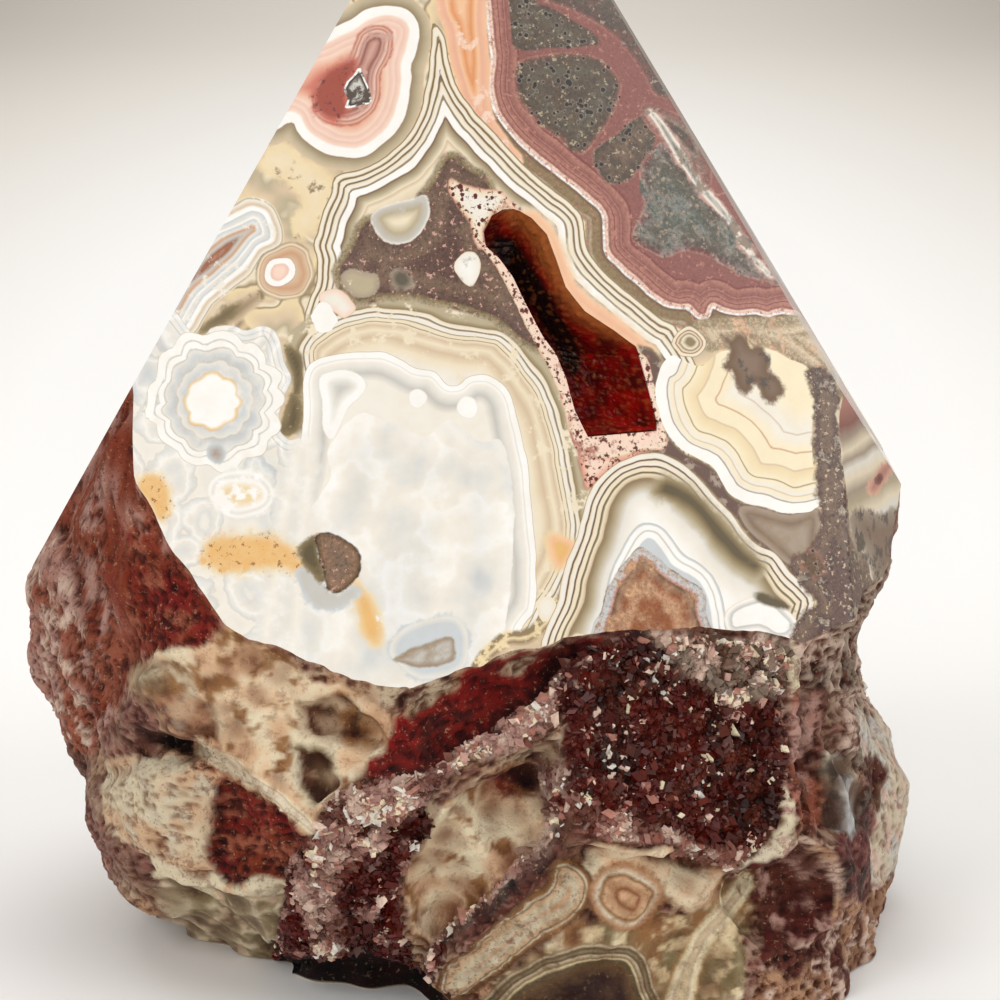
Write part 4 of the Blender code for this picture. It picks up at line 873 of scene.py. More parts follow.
def ridge_bearing(first, second):
    """Bearing at which two facets through the point meet."""
    turn_1, run_1 = np.radians(POINT_FACETS[first][0]), POINT_FACETS[first][1]
    turn_2, run_2 = np.radians(POINT_FACETS[second][0]), POINT_FACETS[second][1]
    rise = run_2 * np.cos(turn_1) - run_1 * np.cos(turn_2)
    across = run_1 * np.sin(turn_2) - run_2 * np.sin(turn_1)
    middle = turn_1 + np.mod(turn_2 - turn_1 + np.pi, 2.0 * np.pi) / 2.0 - np.pi / 2.0
    found = np.arctan2(rise, across)
    return np.degrees(found + np.pi * np.round((middle - found) / np.pi))


def view_axes():
    """The front view's direction, its upward direction, and its eye."""
    ahead = np.array((0.0, np.cos(VIEW_TILT), -np.sin(VIEW_TILT)))
    upward = np.array((0.0, np.sin(VIEW_TILT), np.cos(VIEW_TILT)))
    return ahead, upward, VIEW_TARGET - VIEW_DISTANCE * ahead


def seen_from_front(points):
    """Where points show in the front view: millimetres across from the axis, and up."""
    ahead, upward, eye = view_axes()
    sight = points - eye
    depth = sight @ ahead
    seen = np.stack((sight[..., 0] / depth, (sight @ upward) / depth), -1)
    return VIEW_CENTRE + VIEW_DISTANCE * seen


def in_view(points):
    """Counts across and down the front view as millimetres across from the axis and up."""
    counts = np.reshape(points, (-1, 2))
    return np.stack(((counts[..., 0] - AXIS_ACROSS) * UNIT, (FOOT_DOWN - counts[..., 1]) * UNIT), -1)


def cast_on_facet(spots, name):
    """Carry spots of the front view along the lines of sight onto a facet."""
    ahead, upward, eye = view_axes()
    offset = (spots - VIEW_CENTRE) / VIEW_DISTANCE
    sight = ahead + offset[:, :1] * np.array((1.0, 0.0, 0.0)) + offset[:, 1:] * upward
    normal, point = facet_planes()[name]
    reach = (normal @ point - normal @ eye) / (sight @ normal)
    return eye + sight * reach[:, None]


def edge_distance(spots, course, closed):
    """Distance from each spot to a course of straight runs, and whether the spot is inside it."""
    nearest = np.full(spots.shape[:-1], np.inf)
    inside = np.zeros(spots.shape[:-1], bool)
    course = np.reshape(course, (-1, 2)).astype(float)
    ends = np.roll(course, -1, axis=0) if closed else course[1:]
    for start, end in zip(course, ends):
        run = end - start
        share = np.clip(((spots - start) @ run) / (run @ run), 0.0, 1.0)
        aside = spots - start - share[..., None] * run
        nearest = np.minimum(nearest, np.hypot(aside[..., 0], aside[..., 1]))
        crosses = (start[1] > spots[..., 1]) != (end[1] > spots[..., 1])
        rise = run[1] if abs(run[1]) > 1e-9 else 1e-9
        inside ^= crosses & (spots[..., 0] < start[0] + run[0] * (spots[..., 1] - start[1]) / rise)
    return nearest, inside


def signed_depth(spots, course):
    """Depth inside a closed course, negative outside it, after its corners are rounded by a spline.

    Spots far outside are all given the same small depth.
    """
    course = np.asarray(course, float)
    around = [np.roll(course, step, axis=0) for step in (1, 0, -1, -2)]
    parts = np.array((0.0, 0.33, 0.67))[:, None, None]
    rounded = smooth_curve(parts, *around)
    rounded = rounded.transpose(1, 0, 2).reshape(-1, 2)
    apart = np.maximum(rounded.min(axis=0) - spots, spots - rounded.max(axis=0)).max(axis=-1)
    depth = np.full(spots.shape[:-1], -FAR_OUTSIDE)
    near = apart < FAR_OUTSIDE
    nearest, inside = edge_distance(spots[near], rounded, closed=True)
    depth[near] = np.maximum(np.where(inside, nearest, -nearest), -FAR_OUTSIDE)
    return depth


def front_relief(spots):
    """Height of the patches and ridges at spots of the front view."""
    height = np.zeros(spots.shape[:-1])
    for rise, softness, outline in PATCHES.values():
        nearest, inside = edge_distance(spots, outline, closed=True)
        height += rise * smooth_step(0.5 + np.where(inside, nearest, -nearest) / softness)
    for rise, half_width, course in RIDGES.values():
        nearest, _ = edge_distance(spots, course, closed=False)
        height += rise * smooth_step(1.0 - nearest / half_width)
    return height


def turned_out(bearings, radius, heights):
    """Points at a bearing, a radius and a height around the axis."""
    turn = np.radians(bearings)
    return np.stack((radius * np.cos(turn), radius * np.sin(turn), heights + 0.0 * radius), -1)


def natural_radius(bearings, heights):
    """Radius of the natural stone: its profiles, lumps and relief, held inside the facet planes."""
    edge = polish_edge(bearings)
    own = profile_radius(bearings, heights)
    below = edge - heights
    rim = polished_radius(bearings, edge)
    radius = passed(rim, own, smooth_step(below / EDGE_BLEND))
    turn = np.radians(bearings)
    lumps = sum(rise * np.cos(waves * turn + climb * heights / LUMP_CLIMB + phase)
                for rise, waves, climb, phase in LUMPS)
    for bearing, height, half_width, rise in SWELLS:
        aside = np.sin((turn - np.radians(bearing)) / 2.0) * 2.0 * radius
        lumps = lumps + rise * smooth_step(1.0 - np.hypot(aside, heights - height) / half_width)
    spots = seen_from_front(turned_out(bearings, radius, heights))
    facing_front = smooth_step((FRONT_STARTS - np.sin(turn)) / (FRONT_STARTS - FRONT_FULL))
    grown = smooth_step(below / RELIEF_BLEND)
    radius = radius + (lumps + front_relief(spots) * facing_front) * grown
    margin = SAW_MARGIN - SAW_MARGIN_PER_LUMP * np.clip(lumps, -1.0, 1.0)
    limit = polished_radius(bearings, heights) - margin * grown
    softness = SAW_SOFTNESS * grown + LEAST_SOFTNESS
    return limit - softness * np.logaddexp(0.0, (limit - radius) / softness)


def pocket_bearings():
    """Heights and bearings of the pocket's left and right edges on their facet, from the bottom up."""
    edges = {}
    for name, course in (("pocket_left", POCKET_LEFT), ("pocket_right", POCKET_RIGHT)):
        spots = cast_on_facet(in_view(course), POCKET_FACET)
        edges[name] = (spots[:, 2], np.degrees(np.arctan2(spots[:, 1], spots[:, 0])))
    return edges


def column_bearings(heights):
    """Bearing of every column at each height: even steps between stops, which bend to the pocket."""
    edges = pocket_bearings()
    stops = []
    for stop in COLUMN_STOPS:
        if stop in edges:
            levels, bearings = edges[stop]
            levels = np.append(levels, levels[-1] + POCKET_CLEARANCE)
            stops.append(np.interp(heights, levels, np.append(bearings, bearings[0])))
        else:
            bearing = ridge_bearing(*stop) if isinstance(stop, tuple) else stop
            stops.append(np.full_like(heights, bearing))
    pocket = COLUMN_STOPS.index("pocket_left")
    stops[pocket - 1] = np.minimum(stops[pocket - 1], stops[pocket] - EDGE_CLEARANCE)
    stops.append(stops[0] + 360.0)
    runs = []
    for index, count in enumerate(COLUMN_COUNTS):
        share = np.arange(count) / count
        if index == pocket:
            share = eased(share)
        runs.append(stops[index] + share[:, None] * (stops[index + 1] - stops[index]))
    return np.concatenate(runs)


def pocket_share():
    """For each column, how far it is from the middle of the pocket: -1 and 1 at its edges."""
    shares = [np.full(count, 1.0) for count in COLUMN_COUNTS]
    inside = COLUMN_STOPS.index("pocket_left")
    shares[inside] = -np.cos(np.pi * np.arange(COLUMN_COUNTS[inside]) / COLUMN_COUNTS[inside])
    return np.concatenate(shares)


def in_linear(code):
    """Colour of a display code from 0 to 255 as the linear values that materials take."""
    share = np.array(code) / 255.0
    return tuple(np.where(share <= 0.04045, share / 12.92, ((share + 0.055) / 1.055) ** 2.4))


def colour_property(name, code):
    """A colour that the user can change."""
    words = name.replace("_", " ")
    return bpy.props.FloatVectorProperty(name=words.capitalize(), description=f"Colour of the {words} parts",
                                         subtype="COLOR", size=3, min=0.0, max=1.0,
                                         default=in_linear(code))


def length_property(name, words, size):
    """A length that the user can change, given in millimetres."""
    return bpy.props.FloatProperty(name=name, description=words, default=size * MM, min=0.0,
                                   unit="LENGTH", subtype="DISTANCE")


class AgateColours(bpy.types.PropertyGroup):
    """Colours of the bands, the rock and the crystals."""

    __annotations__ = {name: colour_property(name, code) for name, code in PALETTE.items()}


class AgateSizes(bpy.types.PropertyGroup):
    """Sizes of the fine surface."""

    line_waver: length_property("Line waver", "How far the lines of the pattern waver", 0.05)
    rind_grain: length_property("Rind grain", "Height of the fine grain of the rind", 0.16)
    druse_width: length_property("Druse width", "Width of the crystals on the outside", 1.1)
    druse_rise: length_property("Druse rise", "Height of the crystals on the outside", 0.55)
    pocket_width: length_property("Pocket crystal width", "Width of the crystals in the pocket", 0.62)
    pocket_rise: length_property("Pocket crystal rise", "Height of the crystals in the pocket", 0.3)
    grain_width: length_property("Loose grain width", "Width of the small single crystals", 0.32)
    grain_count: bpy.props.IntProperty(name="Grains", description="Number of small single crystals",
                                       default=9500, min=100, max=16000)


class StageSizes(bpy.types.PropertyGroup):
    """Sizes of the floor and the lights."""

    floor_width: length_property("Floor width", "Width of the floor and the backdrop", 3000.0)
    key_width: length_property("Light width", "Width of the large soft light", 900.0)
    key_power: bpy.props.FloatProperty(name="Light power", description="Power of the large soft light",
                                       default=7.0, min=0.0, unit="POWER")


def sizes():
    """The sizes of the fine surface in millimetres."""
    held = bpy.context.scene.agate_sizes
    return {name: getattr(held, name) / MM for name in AgateSizes.__annotations__ if name != "grain_count"}


def colours():
    """The colours as linear values with full cover."""
    held = bpy.context.scene.agate_colours
    return {name: (*getattr(held, name), 1.0) for name in PALETTE}


def colour_arrays():
    """The colours as arrays, for mixing on a mesh."""
    return {name: np.array(value) for name, value in colours().items()}


def read_stops(text):
    """Values and the names of their colours, from stops written as text."""
    pairs = (stop.split() for stop in text.split(", "))
    return [(float(place), name) for place, name in pairs]


class Reading:
    """A socket of a material's nodes. An expression on it adds its Math nodes."""

    def __init__(self, maker, socket):
        self.maker = maker
        self.socket = socket

    def joined(self, operation, first, second):
        return self.maker.add("ShaderNodeMath", {"operation": operation}, {0: first, 1: second})

    def __add__(self, other):
        return self.joined("ADD", self, other)

    def __radd__(self, other):
        return self.joined("ADD", other, self)

    def __sub__(self, other):
        return self.joined("SUBTRACT", self, other)

    def __rsub__(self, other):
        return self.joined("SUBTRACT", other, self)

    def __mul__(self, other):
        return self.joined("MULTIPLY", self, other)

    def __rmul__(self, other):
        return self.joined("MULTIPLY", other, self)


class MaterialMaker:
    """Adds the nodes of one material."""

    def __init__(self, name):
        self.material = bpy.data.materials.new(name)
        self.material.use_nodes = True
        self.tree = self.material.node_tree
        self.tree.nodes.clear()
        self.colours = colours()

    def add(self, kind, settings, values, output=0):
        """Add a node: its settings first, then the values or links of its sockets."""
        node = self.tree.nodes.new(kind)
        for key, value in settings.items():
            if key == "stops":
                elements = node.color_ramp.elements
                elements.remove(elements[-1])
                elements[0].position = value[0][0]
                elements[0].color = value[0][1]
                for position, colour in value[1:]:
                    elements.new(position).color = colour
            else:
                setattr(node, key, value)
        for key, value in values.items():
            if isinstance(value, Reading):
                self.tree.links.new(value.socket, node.inputs[key])
            else:
                node.inputs[key].default_value = value
        return Reading(self, node.outputs[output])

    def field(self, name):
        """A value that the mesh holds for each of its points."""
        return self.add("ShaderNodeAttribute", {"attribute_name": name}, {}, "Fac")

    def painted(self, name):
        """A colour that the mesh holds for each of its points."""
        return self.add("ShaderNodeAttribute", {"attribute_name": name}, {}, "Color")

    def noise(self, size, detail=2.0, roughness=0.5):
        """Noise whose grains are about this many millimetres wide."""
        place = self.add("ShaderNodeTexCoord", {}, {}, "Object")
        return self.add("ShaderNodeTexNoise", {}, {"Vector": place, "Scale": 1.0 / (size * MM),
                                                   "Detail": detail, "Roughness": roughness}, "Fac")

    def cells(self, size):
        """Distance from the middle of random cells about this many millimetres wide."""
        place = self.add("ShaderNodeTexCoord", {}, {}, "Object")
        return self.add("ShaderNodeTexVoronoi", {}, {"Vector": place, "Scale": 1.0 / (size * MM)},
                        "Distance")

    def mask(self, value, start, end):
        """0 up to the start, 1 from the end, smooth between."""
        return self.add("ShaderNodeMapRange", {"interpolation_type": "SMOOTHSTEP"},
                        {"Value": value, "From Min": start, "From Max": end})

    def bands(self, value, stops):
        """Colours at stated values, blended between them."""
        stops = read_stops(stops)
        first = stops[0][0]
        span = stops[-1][0] - first
        ramp = [((place - first) / span, self.colours[name]) for place, name in stops]
        share = self.add("ShaderNodeMapRange", {}, {"Value": value, "From Min": first,
                                                    "From Max": first + span})
        return self.add("ShaderNodeValToRGB", {"stops": ramp}, {"Fac": share})

    def blend(self, share, under, over, blend_type="MIX"):
        """One colour over another by a share."""
        return self.add("ShaderNodeMix", {"data_type": "RGBA", "blend_type": blend_type},
                        {0: share, 6: under, 7: over}, 2)

    def finish(self, values):
        """The surface itself, with the values or links of its sockets."""
        surface = self.add("ShaderNodeBsdfPrincipled", {}, values)
        self.add_output(surface)
        return self.material

    def add_output(self, surface):
        """Join a surface to the material's output."""
        output = self.tree.nodes.new("ShaderNodeOutputMaterial")
        self.tree.links.new(surface.socket, output.inputs["Surface"])


def speck_kinds(maker):
    """The mask of each kind of speck, and what it shows where it isn't a plain colour.

    Dust, specks, spots and blotches are where noise of their size is high, haze is a softer mask of it,
    and grit is a fine rough noise. Pores and rims are the middles of a net of random cells and the rings
    around them. Rings and clouds are pale rings around the middles of larger random cells.
    """
    noises = {name: maker.noise(*form) for name, form in SPECK_NOISE.items()}
    kinds = {}
    for name, (noise, start, full, share) in SPECKS.items():
        mask = maker.mask(noises[noise], start, full)
        kinds[name] = (mask if share == 1 else mask * share, None)
    pores = maker.cells(PORE_SIZE) + (noises["coarse"] - 0.5) * 1.5
    kinds["pores"] = (1.0 - maker.mask(pores, 0.16, 0.26), None)
    kinds["rims"] = (0.35 - maker.mask(pores, 0.26, 0.4) * 0.35, None)
    slow = noises["slow"] - 0.5
    kinds["rings"] = (0.55, maker.bands(maker.cells(RING_SIZE) + slow * 0.9, CELL_RINGS))
    kinds["clouds"] = (0.7, maker.bands(maker.cells(CLOUD_SIZE) + slow * 1.1, CELL_CLOUDS))
    return kinds


def lay_layers(maker, colour, layers, waver):
    """Lay each outline's bands over the colour so far, with its specks, and fray its softer edges."""
    kinds = speck_kinds(maker)
    fray = maker.noise(*FRAY_NOISE) - 0.5
    frays = [fray * share for share in FRAY_SHARES]
    for name, (softness, stops, texture, _) in layers.items():
        depth = maker.field(name) + waver
        band = maker.bands(maker.field(LINES[name]) + waver if name in LINES else depth, stops)
        for kind, speck_colour in TEXTURES.get(texture, (texture,) if texture else ()):
            share, over = kinds[kind]
            band = maker.blend(share, band, over or maker.colours[speck_colour])
        if softness > FRAY_FROM:
            depth = depth + frays[softness > WIDE_FRAY_FROM]
        start, half = read_stops(stops)[0][0], softness / 2
        colour = maker.blend(maker.mask(depth, start - half, start + half), colour, band)
    return colour


def polished_agate(name, layers):
    """Polished bands: soft contours of slow noise underneath, and the outlined pattern over them."""
    maker = MaterialMaker(name)
    line_waver = sizes()["line_waver"]
    colour = maker.bands(maker.noise(*GROUND_NOISE), GROUND_BANDS)
    waver = (maker.noise(2.4, 2.0) - 0.5) * (line_waver * 5.0) + (maker.noise(0.7, 1.0) - 0.5) * line_waver
    colour = lay_layers(maker, colour, layers, waver)
    cloud = maker.mask(maker.noise(*CLOUD_NOISE), 0.3, 0.75) * CLOUD_SHARE
    colour = maker.blend(cloud, colour, maker.blend(1.0, colour, maker.colours["tan"], "MULTIPLY"))
    return maker.finish({"Base Color": colour, "Roughness": POLISH_ROUGHNESS + 0.1 * maker.noise(3.0, 2.0),
                         "IOR": QUARTZ_IOR})


def natural_agate():
    """Natural surface: its painted ground, banded pieces over it, and fine dark and pale flecks."""
    maker = MaterialMaker("natural_agate")
    waver = (maker.noise(2.0, 2.0) - 0.5) * 0.35
    colour = lay_layers(maker, maker.painted("ground"), BASE_PATTERN, waver)
    wax = maker.field("wax")
    crystal = maker.field("crystal")
    rough = 1.0 - wax * 0.55
    fine = maker.noise(*FINE_FLECKS)
    coarse = maker.noise(*COARSE_FLECKS)
    deep = maker.blend(1.0, colour, maker.colours["mauve"], "MULTIPLY")
    for noise, start, full in ((coarse, 0.38, 0.46), (fine, 0.36, 0.44)):
        share = (1.0 - maker.mask(noise, start, full)) * rough * DARK_FLECKS
        colour = maker.blend(share, colour, deep)
    colour = maker.blend(maker.mask(fine, 0.58, 0.66) * rough * PALE_FLECKS, colour, maker.colours["sand"])
    grain = (fine + coarse * 1.6) * (1.0 - wax * 0.5)
    relief = maker.add("ShaderNodeBump", {}, {"Height": grain, "Strength": 0.8, "Distance": BUMP_DEPTH * MM})
    roughness = RIND_ROUGHNESS - wax * WAX_GLOSS - crystal * CRYSTAL_GLOSS
    return maker.finish({"Base Color": colour, "Roughness": roughness, "Normal": relief, "IOR": QUARTZ_IOR,
                         "Specular IOR Level": 0.28})


def druse_material(name, roughness):
    """Glassy crystals in the colours that their mesh holds."""
    maker = MaterialMaker(name)
    colour = maker.painted("ground")
    shade = maker.mask(maker.noise(0.5, 3.0), 0.3, 0.7)
    colour = maker.blend(0.3 - shade * 0.3, colour, maker.colours["soot"])
    return maker.finish({"Base Color": colour, "Roughness": roughness, "IOR": QUARTZ_IOR,
                         "Specular IOR Level": 0.2})


def paper_material():
    """Pale paper with painted light: palest in the middle, greyer and warmer away from it."""
    maker = MaterialMaker("pale_paper")
    place = maker.add("ShaderNodeTexCoord", {}, {}, "Object")
    spread = maker.add("ShaderNodeMapping", {"vector_type": "TEXTURE"},
                       {"Vector": place, "Location": PAPER_MIDDLE, "Scale": PAPER_SPREAD}, "Vector")
    far = maker.add("ShaderNodeVectorMath", {"operation": "LENGTH"}, {0: spread}, "Value")
    # Painted falloff of the light from the middle outwards
    colour = maker.add("ShaderNodeValToRGB", {"stops": PAPER_LIGHT_FALLOFF}, {"Fac": far})
    return maker.finish({"Base Color": colour, "Roughness": 0.9})


def random_shares(cells, seed):
    """A scrambled number from 0 to 1 for each cell."""
    return scrambled(cells @ CELL_WAY + CELL_SEED * seed)


def crystal_height(points, size, seed):
    """Height from 0 to 1 of packed crystals, and a random share for each.

    Each cell of a cubic net holds one blunt eight-sided crystal at a random place and turn. The
    surface is the outermost of all those near a point: 1 less the largest of three weighted distances
    from the crystal's middle, measured along its own axes.
    """
    place = points / size
    own = np.floor(place)
    best = np.full(points.shape[:-1], -9.0)
    share = np.zeros(points.shape[:-1])
    for step in np.ndindex(3, 3, 3):
        cell = own + np.array(step) - 1.0
        middle = cell + 0.5 + 0.7 * (np.stack([random_shares(cell, seed + k) for k in (1, 2, 3)], -1) - 0.5)
        turn = 2.0 * np.pi * random_shares(cell, seed + 4)
        lean = np.arccos(2.0 * random_shares(cell, seed + 5) - 1.0)
        first = np.stack((np.sin(lean) * np.cos(turn), np.sin(lean) * np.sin(turn), np.cos(lean)), -1)
        second = np.stack((-np.sin(turn), np.cos(turn), 0.0 * turn), -1)
        third = np.cross(first, second)
        away = place - middle
        spans = [np.abs((away * axis).sum(axis=-1)) for axis in (first, second, third)]
        height = 1.0 - np.maximum(spans[0] * 0.8 + spans[1] * 0.5, spans[2] * 1.1 + spans[1] * 0.4)
        nearer = height > best
        best = np.where(nearer, height, best)
        share = np.where(nearer, random_shares(cell, seed + 6), share)
    return np.clip(best, 0.0, 1.0), share


def scoops(points, size, seed):
    """Broken surface: squared distance to the nearest of one scattered point in each cell of a net."""
    place = points / size
    own = np.floor(place)
    nearest = np.full(points.shape[:-1], 9.0)
    for step in np.ndindex(3, 3, 3):
        cell = own + np.array(step) - 1.0
        middle = cell + np.stack([random_shares(cell, seed + k) for k in (1, 2, 3)], -1)
        nearest = np.minimum(nearest, ((place - middle) ** 2).sum(axis=-1))
    return np.minimum(nearest, 1.0)


def smoothed(values, passes, around=True):
    """Values on rings, averaged with their neighbours up the rings, and around them, again and again."""
    for _ in range(passes):
        if around:
            values = (values + np.roll(values, 1, axis=1) + np.roll(values, -1, axis=1)) / 3.0
        lower = np.concatenate((values[:1], values[:-1]))
        upper = np.concatenate((values[1:], values[-1:]))
        values = (lower + values + upper) / 3.0
    return values


def pattern_spots(points):
    """Spots of the front view that the pattern follows. Behind the front they drift and waver."""
    behind = smooth_step((points[..., 1] - DRIFT_STARTS) / DRIFT_RUN)[..., None]
    waver = noise_pair(points, WAVER_SIZE, 2, 11, 23)
    ripple = noise_pair(points, RIPPLE_SIZE, 2, 71, 73)
    return seen_from_front(points) + OUTLINE_RIPPLE * ripple + behind * (DRIFT + DRIFT_WAVER * waver)


def round_depth(spots, centre, radius, lobes, height):
    """Depth inside a round outline with lobes: the radius, less the distance over 1 + h |cos|."""
    aside = spots - in_view(centre)
    turn = np.arctan2(aside[..., 1], aside[..., 0])
    swell = 1.0 + height * (np.abs(np.cos(lobes * turn / 2.0 + 0.5 * np.sin(2.0 * turn))) - 0.6)
    return radius - np.hypot(aside[..., 0], aside[..., 1]) / swell


def outline_depths(layers, spots):
    """Depth of each spot inside every outline of a table."""
    return {name: signed_depth(spots, in_view(layer[3])) for name, layer in layers.items() if layer[3]}


def pattern_fields(points):
    """Depth of each point inside every outline of the pattern on the polished faces."""
    spots = pattern_spots(points)
    fields = outline_depths(PATTERN, spots)
    fields["fan_lines"] = signed_depth(spots, in_view(FAN_LINES))
    loose = spots + ROUND_RIPPLE * noise_pair(points, ROUND_SIZE, 3, 79, 83)
    for name, form in ROUNDS.items():
        fields[name] = round_depth(loose, *form)
    fields["side_lines"] = (spots - in_view(SIDE_START)) @ SIDE_LINES
    return fields


def natural_ground(points):
    """Colour of the natural surface, and how crystalline, waxy and pitted it is and how far it stands out.

    Each region mixes its two colours by slow noise and adds flecks where fine noise is high.
    """
    spots = pattern_spots(points) + REGION_WARP * noise_pair(points, REGION_SIZE, 4, 31, 37)
    mottle = smooth_step(0.5 + 1.7 * layered_noise(points, MOTTLE_SIZE, 5, 41))[..., None]
    fleck = smooth_step(5.0 * layered_noise(points, FLECK_SIZE, 4, 47) - 0.35)[..., None]
    shades = colour_arrays()

    def mixed(first, second, third):
        """Two mottled colours, and the flecks over them."""
        return passed(passed(shades[first], shades[second], mottle), shades[third], fleck)

    slow = smooth_step(0.5 + 1.6 * layered_noise(points, RIND_SIZE, 3, 43))[..., None]
    ground = passed(mixed(*RIND_COLOURS[0]), mixed(*RIND_COLOURS[1]), slow)
    finish = np.zeros((*points.shape[:-1], 4)) + RIND_LOOKS
    for softness, mix, looks, outline in REGIONS.values():
        depth = signed_depth(spots, in_view(outline))
        share = smooth_step(0.5 + depth / softness)[..., None]
        ground = passed(ground, mixed(*mix), share)
        finish[..., :3] += (np.array(looks[:3]) - finish[..., :3]) * share
        finish[..., 3] += looks[3] * smooth_step(depth / SINK_RUN)
    return ground, finish


def mesh_object(name, points, faces, fields, *materials):
    """A smooth mesh in metres in the part's frame, from points in millimetres around the axis."""
    mesh = bpy.data.meshes.new(name)
    mesh.from_pydata((points + axis_shift()) * MM, [], faces)
    mesh.shade_smooth()
    for field, values in fields.items():
        kind, key = ("FLOAT", "value") if values.ndim == 1 else ("FLOAT_COLOR", "color")
        mesh.attributes.new(field, kind, "POINT").data.foreach_set(key, values.astype(np.float32).ravel())
    for material in materials:
        mesh.materials.append(material)
    piece = bpy.data.objects.new(name, mesh)
    bpy.context.scene.collection.objects.link(piece)
    return piece


def axis_shift():
    """From the axis through the point to the part's frame: the stone's highest corner is on the axis."""
    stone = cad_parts["agate_stone"]
    corners = np.empty(len(stone.data.vertices) * 3)
    stone.data.vertices.foreach_get("co", corners)
    corners = corners.reshape(-1, 3) / MM
    top = corners[corners[:, 2].argmax()]
    return top - np.array((0.0, 0.0, HEIGHT))


def closed_loft(rings, bottom, top):
    """Points and faces of rings joined each to the next, with a fan to a point at either end."""
    rows, columns = rings.shape[:2]
    points = np.concatenate((bottom[None], rings.reshape(-1, 3), top[None]))
    column = np.arange(columns)
    beside = (column + 1) % columns
    row = 1 + columns * np.arange(rows - 1)[:, None]
    quads = np.stack((row + column, row + beside, row + columns + beside, row + columns + column), -1)
    last = 1 + columns * (rows - 1)
    under = np.stack((0 * column, 1 + beside, 1 + column), -1)
    over = np.stack((last + column, last + beside, 0 * column + len(points) - 1), -1)
    return points, under.tolist() + quads.reshape(-1, 4).tolist() + over.tolist()


def ring_normals(rings):
    """Outward direction at each point of rings that go up: along the ring crossed with up the rings."""
    along = np.roll(rings, -1, axis=1) - np.roll(rings, 1, axis=1)
    upward = np.gradient(rings, axis=0)
    normal = np.cross(along, upward)
    return normal / np.maximum(np.linalg.norm(normal, axis=-1, keepdims=True), 1e-9)


def rim_ring():
    """The ring where the point meets the base, on the edge of the polish."""
    lowest = pocket_bearings()["pocket_left"][0][:1]
    bearings = column_bearings(lowest)[:, 0]
    edge = polish_edge(bearings)
    return turned_out(bearings, polished_radius(bearings, edge), edge)


def inner_cap(rim, lift):
    """Rings from the rim in to the axis, eased to one height."""
    shares = np.array(CAP_SHARES)[:, None]
    rings = rim[None] * shares[..., None]
    rings[..., 2] = CAP_HEIGHT + (rim[None, :, 2] - CAP_HEIGHT) * shares + lift * (1.0 - shares)
    return rings, np.array((0.0, 0.0, CAP_HEIGHT + lift))


def pocket_place(across, upward):
    """Bearing and height on the facet of a place in the pocket: both run from -1 to 1 over it."""
    edges = pocket_bearings()
    lowest, highest = edges["pocket_left"][0][0], edges["pocket_left"][0][-1]
    heights = lowest + (highest - lowest) * (upward + 1.0) / 2.0
    left, right = (np.interp(heights, *edges[name]) for name in ("pocket_left", "pocket_right"))
    return left + (right - left) * (across + 1.0) / 2.0, heights


def sunk(points, share, gap):
    """Points of the facet sunk to the pocket's wall: as deep as the wall is at this share of its mouth."""
    depths, shares, shifts = np.array(POCKET_RINGS).T
    depth = np.interp(-share, -shares, depths)
    shift = np.interp(-share, -shares, shifts)
    normal = facet_planes()[POCKET_FACET][0]
    return points - normal * (depth - gap)[..., None] - np.array((1.0, 0.0, 0.0)) * shift[..., None]


def point_rings():
    """Rings of the polished point, from the edge of the polish to just under the top.

    The rows run in three blocks: up to the pocket's lowest edge, over the pocket with more rows near
    its ends, and on to the top.
    """
    edges = pocket_bearings()["pocket_left"][0]
    lowest, highest = edges[0], edges[-1]
    shares = [np.arange(count) / count for count in POINT_ROWS]
    shares[1] = eased(shares[1])
    shares[2] = shares[2] ** ROW_POWER
    nominal = np.concatenate((np.full(POINT_ROWS[0], lowest), lowest + (highest - lowest) * shares[1],
                              highest + (HEIGHT - highest) * shares[2]))
    bearings = column_bearings(nominal).T
    edge = polish_edge(bearings[0])
    shelf = np.maximum(lowest, edge + SHELF_HEIGHT)
    heights = np.concatenate((edge + (shelf - edge) * shares[0][:, None],
                              shelf + (highest - shelf) * shares[1][:, None],
                              highest + (HEIGHT - highest) * shares[2][:, None] + 0.0 * edge))
    points = turned_out(bearings, polished_radius(bearings, heights), heights)
    upward = np.ones(sum(POINT_ROWS))
    upward[POINT_ROWS[0]:POINT_ROWS[0] + POINT_ROWS[1]] = 2.0 * shares[1] - 1.0
    share = np.maximum(np.abs(pocket_share())[None], np.abs(upward)[:, None])
    return points, np.where((share < 1.0)[..., None], sunk(points, share, 0.0), points)


def make_point():
    """The polished point: flat facets, the outlined pattern and the pocket's wall."""
    points, shaped = point_rings()
    cap, middle = inner_cap(shaped[0], CAP_GAP)
    top = np.array((0.0, 0.0, HEIGHT))
    mesh_points, faces = closed_loft(np.concatenate((cap[::-1], shaped)), middle, top)
    plain = np.concatenate((middle[None], cap[::-1].reshape(-1, 3), points.reshape(-1, 3), top[None]))
    fields = pattern_fields(plain)
    fields["pocket_wall"] = np.linalg.norm(mesh_points - plain, axis=1)
    tiles, materials = point_tiles(faces, pattern_spots(plain), fields)
    piece = mesh_object("agate_point", mesh_points, faces, fields, *materials)
    piece.data.polygons.foreach_set("material_index", tiles)
    piece.data.set_sharp_from_angle(angle=np.radians(FACET_SHARP))
    return piece


